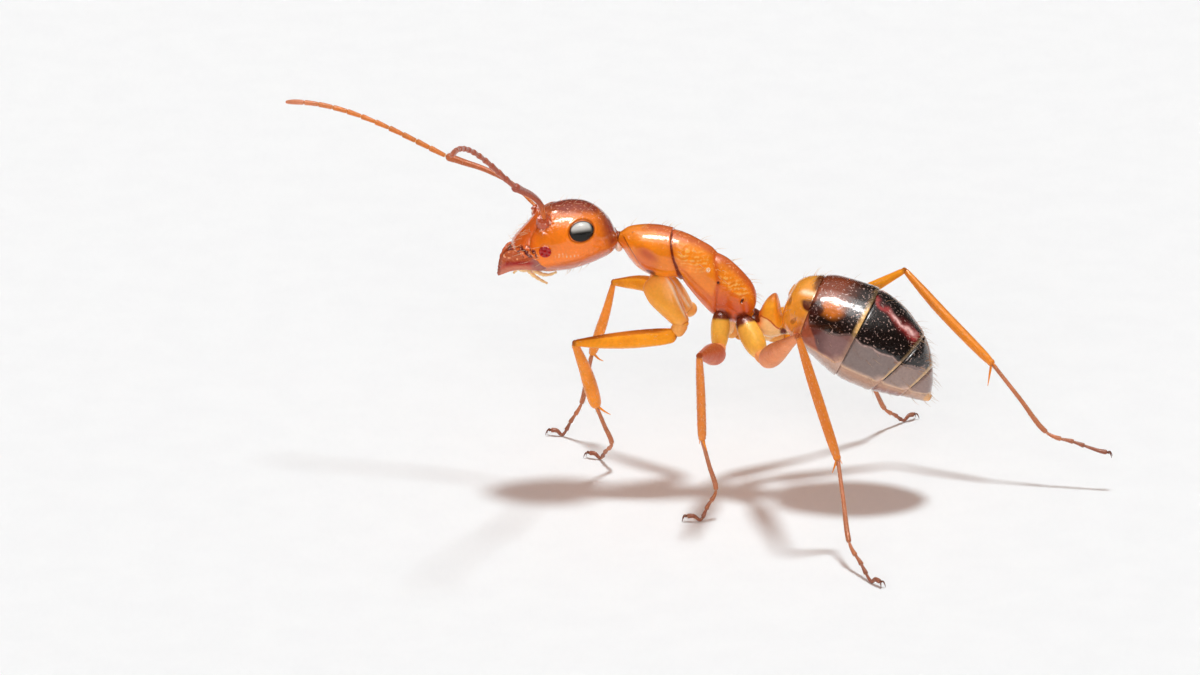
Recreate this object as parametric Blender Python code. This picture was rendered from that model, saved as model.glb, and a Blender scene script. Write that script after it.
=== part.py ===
"""Carpenter ant worker (Camponotus), a still life-size model.

The body lies along X with the head towards -X and the left side towards -Y.
It stands on five feet with the right hind leg lifted behind it, and the floor
is Z = 0. All named sizes are millimetres and are turned into metres by MM.
"""

import math

import bmesh
import bpy
from mathutils import Matrix, Vector

MM = 0.001

# ---------------------------------------------------------------- sizes (mm)
GAP = 0.02  # clearance between neighbouring sclerites
SHIFT = Vector((0.556, 0.759, 0.0))  # from the pose frame to the row frame

HEAD_LENGTH = 2.30
HEAD_WIDTH = 1.67
HEAD_ORIGIN = Vector((-2.283, 0.0, 5.629))  # occipital foramen
HEAD_PITCH = 16.0  # face tipped down
HEAD_YAW = 20.0  # face turned to the ant's left
EYE_SIZE = (0.29, 0.235, 0.14)  # half length, half height, half depth
EYE_PLACE = (0.75, 0.745, 0.70)  # along, out, up in the head's frame
SOCKET = (1.46, 0.36, 1.04)
SCAPE_LENGTH = 2.60
FUNICULUS_LENGTH = 4.00
FEELER_RADIUS = 0.25

TRUNK_ORIGIN = Vector((-2.203, 0.0, 5.635))
TRUNK_PITCH = 28.0  # the trunk falls towards the rear
GASTER_ORIGIN = Vector((1.613, 0.0, 3.786))
GASTER_PITCH = 28.0

LIMB_RADIUS = 0.25
FOOT_RADIUS = 0.24
SOLE_DROP = 0.19  # height of a foot's centre line, so the floor cuts a flat sole

# Leg segment lengths: femur with trochanter, tibia, basitarsus, outer tarsus, toe
LEG_LENGTHS = {
    "fore": (2.45, 1.90, 1.18, 0.92, 0.30),
    "mid": (2.70, 2.28, 1.28, 0.82, 0.32),
    "hind": (3.50, 2.98, 1.95, 1.22, 0.34),
}
# Where each coxa leaves the trunk, and where it ends, on the left side
COXAE = {
    "fore": (Vector((-1.18, -0.30, 4.72)), Vector((-0.69, -0.55, 3.87))),
    "mid": (Vector((0.17, -0.27, 4.02)), Vector((0.18, -0.55, 3.40))),
    "hind": (Vector((0.70, -0.27, 3.92)), Vector((1.14, -0.65, 3.31))),
}
# Coxa half widths along its length: (seen from the side, seen from the front)
COXA_WIDTHS = {
    "fore": ((0.43, 0.30), (0.50, 0.35), (0.46, 0.35), (0.36, 0.31), (0.25, 0.25)),
    "mid": ((0.25, 0.25), (0.28, 0.27), (0.28, 0.27), (0.27, 0.26), (0.25, 0.25)),
    "hind": ((0.27, 0.25), (0.33, 0.29), (0.34, 0.29), (0.31, 0.28), (0.25, 0.25)),
}
TROCHANTER = {"fore": 0.28, "mid": 0.25, "hind": 0.30}
# Directions (azimuth, elevation) of femur, tibia, basitarsus, outer tarsus,
# then the azimuth of the toe along the floor, or None for the lifted foot.
POSE = {
    "fore_left": ((-168, -10.5), (60, -66.5), (62, -62), (124, -45), 165),
    "fore_right": ((146, -0.5), (168, -73.5), (-143, -77), (168, -60), 175),
    "mid_left": ((-89.5, 15), (93, -75.5), (30, -75), (-128, -57), -172),
    "mid_right": ((46.5, 3), (40, -59.5), (61, -57), (55, -40), 50),
    "hind_left": ((-64.5, 26), (-7.5, -71.5), (-69, -47.5), (-55, -25), -40),
    "hind_right": ((33, 18.5), (-23, -37), (-15.5, -46.5), (-3, -15.5), None),
}

AMBER = (0.78, 0.30, 0.05, 1)
RED_AMBER = (0.55, 0.13, 0.03, 1)
DARK = (0.035, 0.018, 0.012, 1)
BLACK = (0.01, 0.01, 0.012, 1)
BROWN = (0.35, 0.12, 0.05, 1)


# ------------------------------------------------------------- scene helpers
def clear_scene():
    for ob in list(bpy.data.objects):
        bpy.data.objects.remove(ob, do_unlink=True)


def collection(name):
    col = bpy.data.collections.new(name)
    bpy.context.scene.collection.children.link(col)
    return col


def material(name, color, roughness=0.25):
    mat = bpy.data.materials.new(name)
    mat.use_nodes = True
    shader = mat.node_tree.nodes["Principled BSDF"]
    shader.inputs["Base Color"].default_value = color
    shader.inputs["Roughness"].default_value = roughness
    shader.inputs["Metallic"].default_value = 0.0
    return mat


def mesh_object(name, bm, col, color=AMBER, cutter=False):
    """Takes a bmesh in pose millimetres and links it as an object in metres."""
    bmesh.ops.remove_doubles(bm, verts=bm.verts, dist=1e-4)
    bmesh.ops.recalc_face_normals(bm, faces=bm.faces)
    bm.transform(Matrix.Scale(MM, 4) @ Matrix.Translation(SHIFT))
    mesh = bpy.data.meshes.new(name)
    bm.to_mesh(mesh)
    bm.free()
    mesh.shade_smooth()
    ob = bpy.data.objects.new(name, mesh)
    col.objects.link(ob)
    if cutter:
        ob.hide_render = True
        ob.display_type = "WIRE"
    else:
        mesh.materials.append(material(name + "_cuticle", color))
    return ob


def cut(ob, cutter, operation="DIFFERENCE"):
    mod = ob.modifiers.new(operation.title(), "BOOLEAN")
    mod.operation = operation
    mod.solver = "EXACT"
    mod.object = cutter
    return mod


# ------------------------------------------------------------ shape helpers
def aim(azimuth, elevation):
    a, e = math.radians(azimuth), math.radians(elevation)
    return Vector((math.cos(e) * math.cos(a), math.cos(e) * math.sin(a), math.sin(e)))


def mirrored(v):
    return Vector((v.x, -v.y, v.z))


def smooth_table(table):
    """Reads a table of (station, value, ...) rows as smooth curves by station."""
    rows = [tuple(map(float, row)) for row in table]

    def slope(i, k):
        if i == 0 or i == len(rows) - 1:
            j = 0 if i == 0 else i - 1
            return (rows[j + 1][k] - rows[j][k]) / (rows[j + 1][0] - rows[j][0])
        return (rows[i + 1][k] - rows[i - 1][k]) / (rows[i + 1][0] - rows[i - 1][0])

    def read(t):
        i = max(0, min(len(rows) - 2, sum(1 for row in rows if row[0] <= t) - 1))
        a, b = rows[i], rows[i + 1]
        w = b[0] - a[0]
        u = min(1.0, max(0.0, (t - a[0]) / w))
        h00, h10 = 2 * u**3 - 3 * u**2 + 1, u**3 - 2 * u**2 + u
        h01, h11 = -2 * u**3 + 3 * u**2, u**3 - u**2
        return [
            h00 * a[k] + h10 * w * slope(i, k) + h01 * b[k] + h11 * w * slope(i + 1, k)
            for k in range(1, len(a))
        ]

    return read


def frame_of(origin, forward, up):
    """Axes (along, out, up) of a body part; out is its left side."""
    along = forward.normalized()
    out = up.cross(along).normalized()
    return origin, along, out, along.cross(out).normalized()


def place(frame, s, l, n):
    origin, along, out, up = frame
    return origin + s * along + l * out + n * up


def loft(frame, table, stations, sides, grow=0.0, narrow=0.0):
    """Skins the sections of a body part. Each row of the table is the station
    and its top, bottom and half width. narrow pinches the upper half."""
    read = smooth_table(table)
    bm = bmesh.new()
    rings = []
    for t in stations:
        top, bottom, wide = read(t)
        mid, tall, wide = (top + bottom) / 2, (top - bottom) / 2 + grow, wide + grow
        ring = []
        for k in range(sides):
            a = 2 * math.pi * k / sides
            pinch = 1 - narrow * max(0.0, math.sin(a)) ** 2
            ring.append(
                bm.verts.new(
                    place(frame, t, wide * pinch * math.cos(a), mid + tall * math.sin(a))
                )
            )
        rings.append(ring)
    for a, b in zip(rings, rings[1:]):
        for k in range(sides):
            m = (k + 1) % sides
            bm.faces.new((a[k], a[m], b[m], b[k]))
    bm.faces.new(rings[0][::-1])
    bm.faces.new(rings[-1])
    bmesh.ops.recalc_face_normals(bm, faces=bm.faces)
    return bm


def keep_side(bm, point, normal):
    """Keeps what lies against the normal of a cutting plane and closes it."""
    geom = bm.verts[:] + bm.edges[:] + bm.faces[:]
    cutline = bmesh.ops.bisect_plane(
        bm, geom=geom, dist=1e-5, plane_co=point, plane_no=normal, clear_outer=True
    )
    edges = [e for e in cutline["geom_cut"] if isinstance(e, bmesh.types.BMEdge)]
    bmesh.ops.edgeloop_fill(bm, edges=edges)


def slices(frame, make, planes):
    """Parts a body by planes ((s, n), (s, n)) seen from the side, GAP apart."""
    cuts = []
    for (s0, n0), (s1, n1) in planes:
        a, b = place(frame, s0, 0, n0), place(frame, s1, 0, n1)
        normal = frame[2].cross(b - a).normalized()
        if normal.dot(frame[1]) < 0:
            normal = -normal
        cuts.append((a, normal))
    pieces = []
    for i in range(len(cuts) + 1):
        bm = make()
        if i > 0:
            point, normal = cuts[i - 1]
            keep_side(bm, point + normal * GAP / 2, -normal)
        if i < len(cuts):
            point, normal = cuts[i]
            keep_side(bm, point - normal * GAP / 2, normal)
        pieces.append(bm)
    return pieces


def tube(points, radii, grow=0.0):
    """A round limb along points, as a bevelled curve turned into a mesh."""
    curve = bpy.data.curves.new("limb", "CURVE")
    curve.dimensions = "3D"
    curve.bevel_depth = 1.0
    curve.bevel_resolution = 2
    curve.use_fill_caps = True
    spline = curve.splines.new("POLY")
    spline.points.add(len(points) - 1)
    for p, co, r in zip(spline.points, points, radii):
        p.co = (*co, 1)
        p.radius = r + grow
    ob = bpy.data.objects.new("limb", curve)
    bpy.context.scene.collection.objects.link(ob)
    bpy.context.view_layer.update()
    evaluated = ob.evaluated_get(bpy.context.evaluated_depsgraph_get())
    mesh = bpy.data.meshes.new_from_object(evaluated)
    bm = bmesh.new()
    bm.from_mesh(mesh)
    bmesh.ops.remove_doubles(bm, verts=bm.verts, dist=1e-5)
    bmesh.ops.recalc_face_normals(bm, faces=bm.faces)
    bpy.data.objects.remove(ob, do_unlink=True)
    return bm


def rounded(a, b, radii, round_start=True, round_end=True):
    """Points and radii of a limb from a to b whose ends are domes beyond a, b."""
    along = (b - a).normalized()
    length = (b - a).length
    points, sizes = [], []
    r0, r1 = radii[0], radii[-1]
    if round_start:
        for k in (1.0, 0.75, 0.4):
            points.append(a - along * r0 * k)
            sizes.append(r0 * math.sqrt(max(0.04, 1 - k * k)))
    for i, r in enumerate(radii):
        points.append(a + along * length * i / (len(radii) - 1))
        sizes.append(r)
    if round_end:
        for k in (0.4, 0.75, 1.0):
            points.append(b + along * r1 * k)
            sizes.append(r1 * math.sqrt(max(0.04, 1 - k * k)))
    return points, sizes


def narrow_start(points, sizes):
    """Starts a limb thin inside the round end of the one before it."""
    along = (points[1] - points[0]).normalized()
    points.insert(1, points[0] + along * sizes[0] * 1.1)
    sizes.insert(0, sizes[0] * 0.6)


def oval_limb(a, b, widths, side_axis, sides, grow=0.0):
    """A limb from a to b with domed ends and oval sections: each width is the
    half width in the plane of side_axis and the one across it."""
    along = (b - a).normalized()
    across = along.cross(side_axis).normalized()
    wide = across.cross(along).normalized()
    length = (b - a).length
    rings = []
    for i, (p, q) in enumerate(widths):
        rings.append((length * i / (len(widths) - 1), p + grow, q + grow))
    first, last = rings[0], rings[-1]
    ends = ((0.6, 0.8), (0.94, 0.34))
    for k, shrink in ends:
        reach = min(first[1:])
        rings.insert(0, (-reach * k, first[1] * shrink, first[2] * shrink))
        rings.append((length + min(last[1:]) * k, last[1] * shrink, last[2] * shrink))
    bm = bmesh.new()
    loops = []
    for t, p, q in rings:
        loops.append(
            [
                bm.verts.new(
                    a
                    + along * t
                    + wide * p * math.cos(2 * math.pi * k / sides)
                    + across * q * math.sin(2 * math.pi * k / sides)
                )
                for k in range(sides)
            ]
        )
    for one, two in zip(loops, loops[1:]):
        for k in range(sides):
            m = (k + 1) % sides
            bm.faces.new((one[k], one[m], two[m], two[k]))
    bm.faces.new(loops[0][::-1])
    bm.faces.new(loops[-1])
    bmesh.ops.recalc_face_normals(bm, faces=bm.faces)
    return bm


def ellipsoid(centre, axes, sizes, around, along):
    bm = bmesh.new()
    bmesh.ops.create_uvsphere(bm, u_segments=around, v_segments=along, radius=1.0)
    turn = Matrix.Identity(4)
    for i, v in enumerate(axes):
        for k in range(3):
            turn[k][i] = v[k]
    for k in range(3):
        turn[k][3] = centre[k]
    bm.transform(turn @ Matrix.Diagonal((*sizes, 1.0)))
    return bm


# ---------------------------------------------------------------- body parts
HEAD_TABLE = (
    # along, top, bottom, half width
    (-0.03, 0.26, 0.02, 0.16),
    (0.02, 0.52, -0.09, 0.36),
    (0.10, 0.70, -0.18, 0.50),
    (0.22, 0.88, -0.25, 0.63),
    (0.42, 1.06, -0.295, 0.745),
    (0.68, 1.18, -0.32, 0.815),
    (1.00, 1.24, -0.33, 0.835),
    (1.32, 1.23, -0.30, 0.815),
    (1.58, 1.14, -0.24, 0.775),
    (1.78, 1.01, -0.18, 0.725),
    (1.96, 0.90, -0.03, 0.66),
    (2.12, 0.79, 0.22, 0.55),
    (2.24, 0.69, 0.42, 0.40),
    (2.29, 0.62, 0.52, 0.24),
)
TRUNK_TABLE = (
    # back from the neck, top, bottom, half width
    (-0.06, 0.16, -0.10, 0.13),
    (0.03, 0.34, -0.12, 0.22),
    (0.20, 0.50, -0.18, 0.36),
    (0.44, 0.66, -0.30, 0.49),
    (0.72, 0.79, -0.38, 0.56),
    (0.98, 0.85, -0.38, 0.57),
    (1.30, 0.91, -0.27, 0.53),
    (1.60, 0.93, -0.10, 0.46),
    (1.88, 0.93, -0.19, 0.43),
    (2.07, 0.885, -0.27, 0.41),
    (2.32, 0.89, -0.37, 0.41),
    (2.62, 0.83, -0.46, 0.42),
    (2.88, 0.75, -0.47, 0.42),
    (3.10, 0.65, -0.41, 0.39),
    (3.28, 0.50, -0.35, 0.32),
    (3.39, 0.30, -0.30, 0.22),
    (3.44, 0.10, -0.22, 0.14),
)
GASTER_TABLE = (
    # back from the petiole, top, bottom, half width
    (-0.30, 0.98, 0.68, 0.20),
    (-0.25, 1.12, 0.40, 0.42),
    (-0.12, 1.28, 0.08, 0.64),
    (0.10, 1.42, -0.06, 0.80),
    (0.40, 1.61, -0.14, 0.94),
    (0.80, 1.73, -0.24, 1.04),
    (1.25, 1.82, -0.34, 1.10),
    (1.70, 1.84, -0.37, 1.11),
    (2.15, 1.75, -0.31, 1.04),
    (2.60, 1.55, -0.20, 0.89),
    (2.98, 1.30, -0.07, 0.68),
    (3.28, 0.95, 0.02, 0.46),
    (3.48, 0.62, 0.07, 0.27),
    (3.60, 0.32, 0.12, 0.12),
)
TRUNK_SUTURES = (((0.94, 0.85), (1.60, -0.12)), ((2.07, 0.90), (2.80, -0.50)))
GASTER_RINGS = (
    ((0.16, 1.50), (0.42, 0.10)),
    ((1.40, 1.90), (1.40, -0.40)),
    ((2.80, 1.50), (2.30, -0.30)),
    ((3.30, 0.95), (2.95, -0.10)),
)


def head_frame():
    forward = aim(180 + HEAD_YAW, -HEAD_PITCH)
    return frame_of(HEAD_ORIGIN, forward, Vector((0, 0, 1)))


def trunk_frame(origin, pitch):
    origin, along, out, up = frame_of(origin, aim(0, -pitch), Vector((0, 0, 1)))
    return origin, along, out, up


def spread(table, count):
    """Stations along a table, closer together towards its ends."""
    first, last = table[0][0], table[-1][0]
    return [
        first + (last - first) * (0.5 - 0.5 * math.cos(math.pi * (0.06 + 0.94 * i / count)))
        if i
        else first
        for i in range(count)
    ] + [last]


def build_head(parts, cutters):
    frame = head_frame()
    stations = spread(HEAD_TABLE, 13)
    head = mesh_object("head", loft(frame, HEAD_TABLE, stations, 20), parts, RED_AMBER)
    grown = mesh_object(
        "head_clearance",
        loft(frame, HEAD_TABLE, stations, 20, grow=GAP),
        cutters,
        cutter=True,
    )
    for side, name in ((1, "left"), (-1, "right")):
        s, l, n = EYE_PLACE
        centre = place(frame, s, side * l, n)
        outward = (frame[2] * side * 0.93 + frame[3] * 0.36 - frame[1] * 0.02).normalized()
        length = (frame[1] - outward * frame[1].dot(outward)).normalized()
        height = outward.cross(length)
        axes = (length, height, outward)
        eye = ellipsoid(centre, axes, EYE_SIZE, 14, 8)
        mesh_object("eye_" + name, eye, parts, BLACK)
        hole = ellipsoid(centre, axes, [v + GAP for v in EYE_SIZE], 14, 8)
        cut(head, mesh_object("eye_seat_" + name, hole, cutters, cutter=True))
        build_mandible(frame, side, name, grown, parts)
        build_antenna(frame, side, name, grown, parts, cutters)
    return head, grown


def build_mandible(frame, side, name, grown, parts):
    """A blade from the cheek's corner to the chewing edge at the middle."""
    rows = (
        # along, out, up, tall, thick, lean of the blade's edge
        (1.86, 0.50, 0.08, 0.13, 0.12, 0.0),
        (2.02, 0.50, 0.12, 0.19, 0.14, 0.1),
        (2.22, 0.42, 0.19, 0.24, 0.13, 0.25),
        (2.42, 0.29, 0.27, 0.28, 0.11, 0.4),
        (2.56, 0.15, 0.31, 0.31, 0.08, 0.5),
        (2.61, 0.075, 0.32, 0.29, 0.05, 0.5),
    )
    bm = bmesh.new()
    rings = []
    for i, (s, l, n, tall, thick, lean) in enumerate(rows):
        last = rows[min(i + 1, len(rows) - 1)]
        first = rows[max(i - 1, 0)]
        ds, dl = last[0] - first[0], last[1] - first[1]
        size = math.hypot(ds, dl)
        ring = []
        for k in range(10):
            a = 2 * math.pi * k / 10
            across, upward = thick * math.cos(a), tall * math.sin(a)
            ring.append(
                bm.verts.new(
                    place(
                        frame,
                        s - across * dl / size - upward * lean,
                        side * (l + across * ds / size),
                        n + upward * math.sqrt(1 - lean * lean),
                    )
                )
            )
        rings.append(ring)
    for a, b in zip(rings, rings[1:]):
        for k in range(10):
            m = (k + 1) % 10
            bm.faces.new((a[k], a[m], b[m], b[k]))
    bm.faces.new(rings[0])
    bm.faces.new(rings[-1][::-1])
    cut(mesh_object("mandible_" + name, bm, parts, BROWN), grown)


def feeler_path(start, azimuths, elevations, length, count):
    """Points of the funiculus, whose direction turns from base to tip."""
    points = [start.copy()]
    for i in range(count):
        t = (i + 0.5) / count
        w = ((1 - t) * (1 - 2 * t), 4 * t * (1 - t), t * (2 * t - 1))
        az = sum(a * b for a, b in zip(azimuths, w))
        el = sum(a * b for a, b in zip(elevations, w))
        points.append(points[-1] + aim(az, el) * length / count)
    return points


def build_antenna(frame, side, name, grown, parts, cutters):
    s, l, n = SOCKET
    start = place(frame, s, side * l, n)
    if side > 0:
        elbow = start + aim(-97.5, 36.0) * SCAPE_LENGTH
        turns = ((-124, -102, -88), (44, 30, 0))
    else:
        elbow = start + aim(162.5, 21.0) * SCAPE_LENGTH
        turns = ((170, 175, 169), (20, 17, -10))
    r = FEELER_RADIUS
    points, sizes = rounded(start, elbow, (0.24, r, r, 0.26), round_start=False)
    scape = mesh_object("scape_" + name, tube(points, sizes), parts, AMBER)
    cut(scape, grown)
    seat = mesh_object(
        "scape_clearance_" + name, tube(points, sizes, GAP), cutters, cutter=True
    )
    path = feeler_path(elbow, *turns, FUNICULUS_LENGTH - 0.2, 11)
    tip = (path[-1] - path[-2]).normalized()
    path += [path[-1] + tip * r * k for k in (0.35, 0.65, 0.8)]
    sizes = [r] * 12 + [r * 0.93, r * 0.7, r * 0.4]
    narrow_start(path, sizes)
    cut(mesh_object("funiculus_" + name, tube(path, sizes), parts, AMBER), seat)


def build_trunk(parts, cutters):
    frame = trunk_frame(TRUNK_ORIGIN, TRUNK_PITCH)
    stations = spread(TRUNK_TABLE, 17)

    def make(grow=0.0):
        return loft(frame, TRUNK_TABLE, stations, 20, grow, narrow=0.16)

    names = ("pronotum", "mesothorax", "propodeum")
    for name, bm in zip(names, slices(frame, make, TRUNK_SUTURES)):
        mesh_object(name, bm, parts, AMBER)
    return mesh_object("trunk_clearance", make(GAP), cutters, cutter=True)


def build_neck(head_grown, trunk_grown, parts):
    a = HEAD_ORIGIN + aim(180 + HEAD_YAW, -HEAD_PITCH) * 0.25 + Vector((0, 0, 0.12))
    b = TRUNK_ORIGIN + Vector((0.28, 0, -0.02))
    neck = mesh_object("neck", tube([a, b], [0.20, 0.20]), parts, BROWN)
    cut(neck, head_grown)
    cut(neck, trunk_grown)


def build_gaster(parts, cutters):
    frame = trunk_frame(GASTER_ORIGIN, GASTER_PITCH)
    stations = spread(GASTER_TABLE, 17)

    def make(grow=0.0):
        return loft(frame, GASTER_TABLE, stations, 20, grow)

    for i, bm in enumerate(slices(frame, make, GASTER_RINGS)):
        mesh_object("gaster_%d" % (i + 1), bm, parts, DARK if i else AMBER)
    return mesh_object("gaster_clearance", make(GAP), cutters, cutter=True)


def build_petiole(trunk_grown, gaster_grown, parts, cutters):
    """The single upright scale of the waist on its short stalk."""
    rows = (
        # height above the floor, centre along X, half length, half width
        (3.50, 1.32, 0.10, 0.12),
        (3.56, 1.31, 0.22, 0.22),
        (3.70, 1.27, 0.31, 0.29),
        (3.90, 1.25, 0.30, 0.32),
        (4.12, 1.28, 0.22, 0.335),
        (4.34, 1.33, 0.14, 0.29),
        (4.48, 1.355, 0.085, 0.20),
        (4.55, 1.37, 0.045, 0.10),
    )
    bm = bmesh.new()
    rings = []
    for z, x, half_long, half_wide in rows:
        rings.append(
            [
                bm.verts.new(
                    (
                        x + half_long * math.cos(2 * math.pi * k / 16),
                        half_wide * math.sin(2 * math.pi * k / 16),
                        z,
                    )
                )
                for k in range(16)
            ]
        )
    for a, b in zip(rings, rings[1:]):
        for k in range(16):
            m = (k + 1) % 16
            bm.faces.new((a[k], a[m], b[m], b[k]))
    bm.faces.new(rings[0][::-1])
    bm.faces.new(rings[-1])
    petiole = mesh_object("petiole", bm, parts, AMBER)
    stalk = tube(
        [Vector((0.80, 0, 3.93)), Vector((1.24, 0, 3.76)), Vector((1.90, 0, 3.74))],
        [0.165, 0.185, 0.155],
    )
    cut(petiole, mesh_object("stalk", stalk, cutters, cutter=True), "UNION")
    cut(petiole, trunk_grown)
    cut(petiole, gaster_grown)


FORE_BOW = 0.28


def leg_points(pair, side):
    """Hip, knee, tibia's end, tarsus bend, ball of the foot and toe."""
    name = pair + "_" + side
    flip = (lambda v: v) if side == "left" else mirrored
    base, hip = (flip(v) for v in COXAE[pair])
    *turns, toe = POSE[name]
    points = [hip]
    for length, turn in zip(LEG_LENGTHS[pair], turns):
        points.append(points[-1] + aim(*turn) * length)
    if toe is None:
        points.append(points[-1] + aim(turns[-1][0] + 4, turns[-1][1] + 6) * 0.25)
    else:
        points[-1].z = SOLE_DROP
        points.append(points[-1] + aim(toe, 0) * LEG_LENGTHS[pair][4])
    return base, points


def build_leg(pair, side, trunk_grown, parts, cutters):
    name = pair + "_" + side
    base, (hip, knee, ankle, bend, ball, toe) = leg_points(pair, side)
    r = LIMB_RADIUS

    # The fore coxae lean forward at the root, and end a little apart
    widths, side_axis, end = COXA_WIDTHS[pair], Vector((1, 0, 0)), hip
    if pair == "fore":
        base = base + Vector((-0.205, 0, 0.02))
        end = hip + Vector((0.05 if side == "left" else -0.07, 0, 0))
    coxa = oval_limb(base, end, widths, side_axis, 11)
    coxa = mesh_object("coxa_" + name, coxa, parts, AMBER)
    cut(coxa, trunk_grown)
    seat = mesh_object(
        "coxa_clearance_" + name,
        oval_limb(base, end, widths, side_axis, 11, GAP),
        cutters,
        cutter=True,
    )

    # The trochanter turns halfway between the coxa's axis and the femur's
    turn = ((hip - base).normalized() + (knee - hip).normalized()).normalized()
    bend_at = hip + turn * TROCHANTER[pair]
    thick = {"fore": 0.29, "mid": 0.28, "hind": 0.28}[pair]
    points, sizes = rounded(
        bend_at, knee, (r, thick, thick, thick * 0.96, r, r), round_start=False
    )
    if name == "fore_right":
        # this thigh bows upwards
        out = (knee - bend_at).normalized()
        up = (Vector((0, 0, 1)) - out * out.z).normalized()
        for i, point in enumerate(points):
            t = min(max((point - bend_at).dot(out) / (knee - bend_at).length, 0), 1)
            points[i] = point + up * 4 * FORE_BOW * t * (1 - t)
    points[:0] = [hip, hip.lerp(bend_at, 0.45)]
    sizes[:0] = [r * 0.6, r]
    femur = mesh_object("femur_" + name, tube(points, sizes), parts, AMBER)
    cut(femur, seat)
    knee_seat = mesh_object(
        "femur_clearance_" + name, tube(points, sizes, GAP), cutters, cutter=True
    )

    points, sizes = rounded(knee, ankle, (r, r, r), round_start=False)
    narrow_start(points, sizes)
    tibia = mesh_object("tibia_" + name, tube(points, sizes), parts, AMBER)
    cut(tibia, knee_seat)
    ankle_seat = mesh_object(
        "tibia_clearance_" + name, tube(points, sizes, GAP), cutters, cutter=True
    )

    f = FOOT_RADIUS
    tip = (toe - ball).normalized()
    path = [ankle, ankle.lerp(bend, 0.5), bend, bend.lerp(ball, 0.55), ball, toe]
    sizes = [f] * 6
    narrow_start(path, sizes)
    path += [toe + tip * f * k for k in (0.35, 0.65, 0.8)]
    sizes += [f * 0.93, f * 0.75, f * 0.55]
    bm = tube(path, sizes)
    if POSE[name][4] is not None:
        keep_side(bm, Vector((0, 0, 0)), Vector((0, 0, -1)))
    cut(mesh_object("tarsus_" + name, bm, parts, BROWN), ankle_seat)


def main():
    clear_scene()
    parts = collection("carpenter_ant")
    cutters = collection("cutters")
    head, head_grown = build_head(parts, cutters)
    trunk_grown = build_trunk(parts, cutters)
    build_neck(head_grown, trunk_grown, parts)
    gaster_grown = build_gaster(parts, cutters)
    build_petiole(trunk_grown, gaster_grown, parts, cutters)
    for pair in ("fore", "mid", "hind"):
        for side in ("left", "right"):
            build_leg(pair, side, trunk_grown, parts, cutters)


main()
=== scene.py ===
"""Looks of the carpenter ant: skins, shells, hairs, materials, light and camera.

Shapes are made in millimetres in the ant's pose frame (head towards -X, left
side towards -Y, floor at Z = 0) and moved by SHIFT into the frame of the solids.
"""

import math

import bpy
import numpy as np
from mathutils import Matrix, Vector


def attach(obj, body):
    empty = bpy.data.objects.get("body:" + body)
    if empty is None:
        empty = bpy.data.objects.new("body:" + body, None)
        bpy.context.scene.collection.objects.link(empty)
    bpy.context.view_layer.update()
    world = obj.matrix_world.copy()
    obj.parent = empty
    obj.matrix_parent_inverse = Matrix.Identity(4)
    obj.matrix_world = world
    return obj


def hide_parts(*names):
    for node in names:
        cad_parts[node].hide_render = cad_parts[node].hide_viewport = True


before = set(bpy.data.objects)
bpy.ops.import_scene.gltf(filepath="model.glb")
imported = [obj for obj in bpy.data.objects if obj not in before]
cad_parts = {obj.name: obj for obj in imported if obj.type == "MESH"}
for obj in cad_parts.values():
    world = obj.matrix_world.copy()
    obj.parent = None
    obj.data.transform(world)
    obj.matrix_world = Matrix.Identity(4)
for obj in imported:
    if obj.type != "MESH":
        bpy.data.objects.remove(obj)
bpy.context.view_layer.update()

MM = 0.001
SHIFT = np.array([0.556, 0.759, 0.0])
BODY = "root"

# ------------------------------------------------------------- body tables (mm)
HEAD_ORIGIN, HEAD_PITCH, HEAD_YAW = np.array([-2.283, 0.0, 5.629]), 16.0, 20.0
TRUNK_ORIGIN, TRUNK_PITCH = np.array([-2.203, 0.0, 5.635]), 28.0
GASTER_ORIGIN, GASTER_PITCH = np.array([1.613, 0.0, 3.786]), 28.0
EYE_SIZE, EYE_PLACE = (0.285, 0.23, 0.145), (0.75, 0.74, 0.70)
SOCKET = (1.46, 0.36, 1.00)
SCAPE_LENGTH, FUNICULUS_LENGTH = 2.60, 4.00

HEAD_TABLE = (
    # along, top, bottom, half width
    (-0.03, 0.26, 0.02, 0.16), (0.02, 0.52, -0.09, 0.36), (0.10, 0.70, -0.18, 0.50),
    (0.22, 0.88, -0.25, 0.63), (0.42, 1.06, -0.295, 0.745), (0.68, 1.18, -0.32, 0.815),
    (1.00, 1.24, -0.33, 0.835), (1.32, 1.23, -0.30, 0.815), (1.58, 1.14, -0.24, 0.775),
    (1.78, 1.01, -0.18, 0.725), (1.96, 0.90, -0.03, 0.66), (2.12, 0.79, 0.22, 0.55),
    (2.24, 0.69, 0.42, 0.40), (2.29, 0.62, 0.52, 0.24),
)
TRUNK_TABLE = (
    (-0.06, 0.16, -0.10, 0.13), (0.03, 0.34, -0.12, 0.22), (0.20, 0.50, -0.18, 0.36),
    (0.44, 0.66, -0.30, 0.49), (0.72, 0.79, -0.38, 0.56), (0.98, 0.85, -0.38, 0.57),
    (1.30, 0.91, -0.27, 0.53), (1.60, 0.93, -0.10, 0.46), (1.88, 0.93, -0.19, 0.43),
    (2.07, 0.885, -0.27, 0.41), (2.32, 0.89, -0.37, 0.41), (2.62, 0.83, -0.46, 0.42),
    (2.88, 0.75, -0.47, 0.42), (3.10, 0.65, -0.41, 0.39), (3.28, 0.50, -0.35, 0.32),
    (3.39, 0.30, -0.30, 0.22), (3.44, 0.10, -0.22, 0.14),
)
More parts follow.
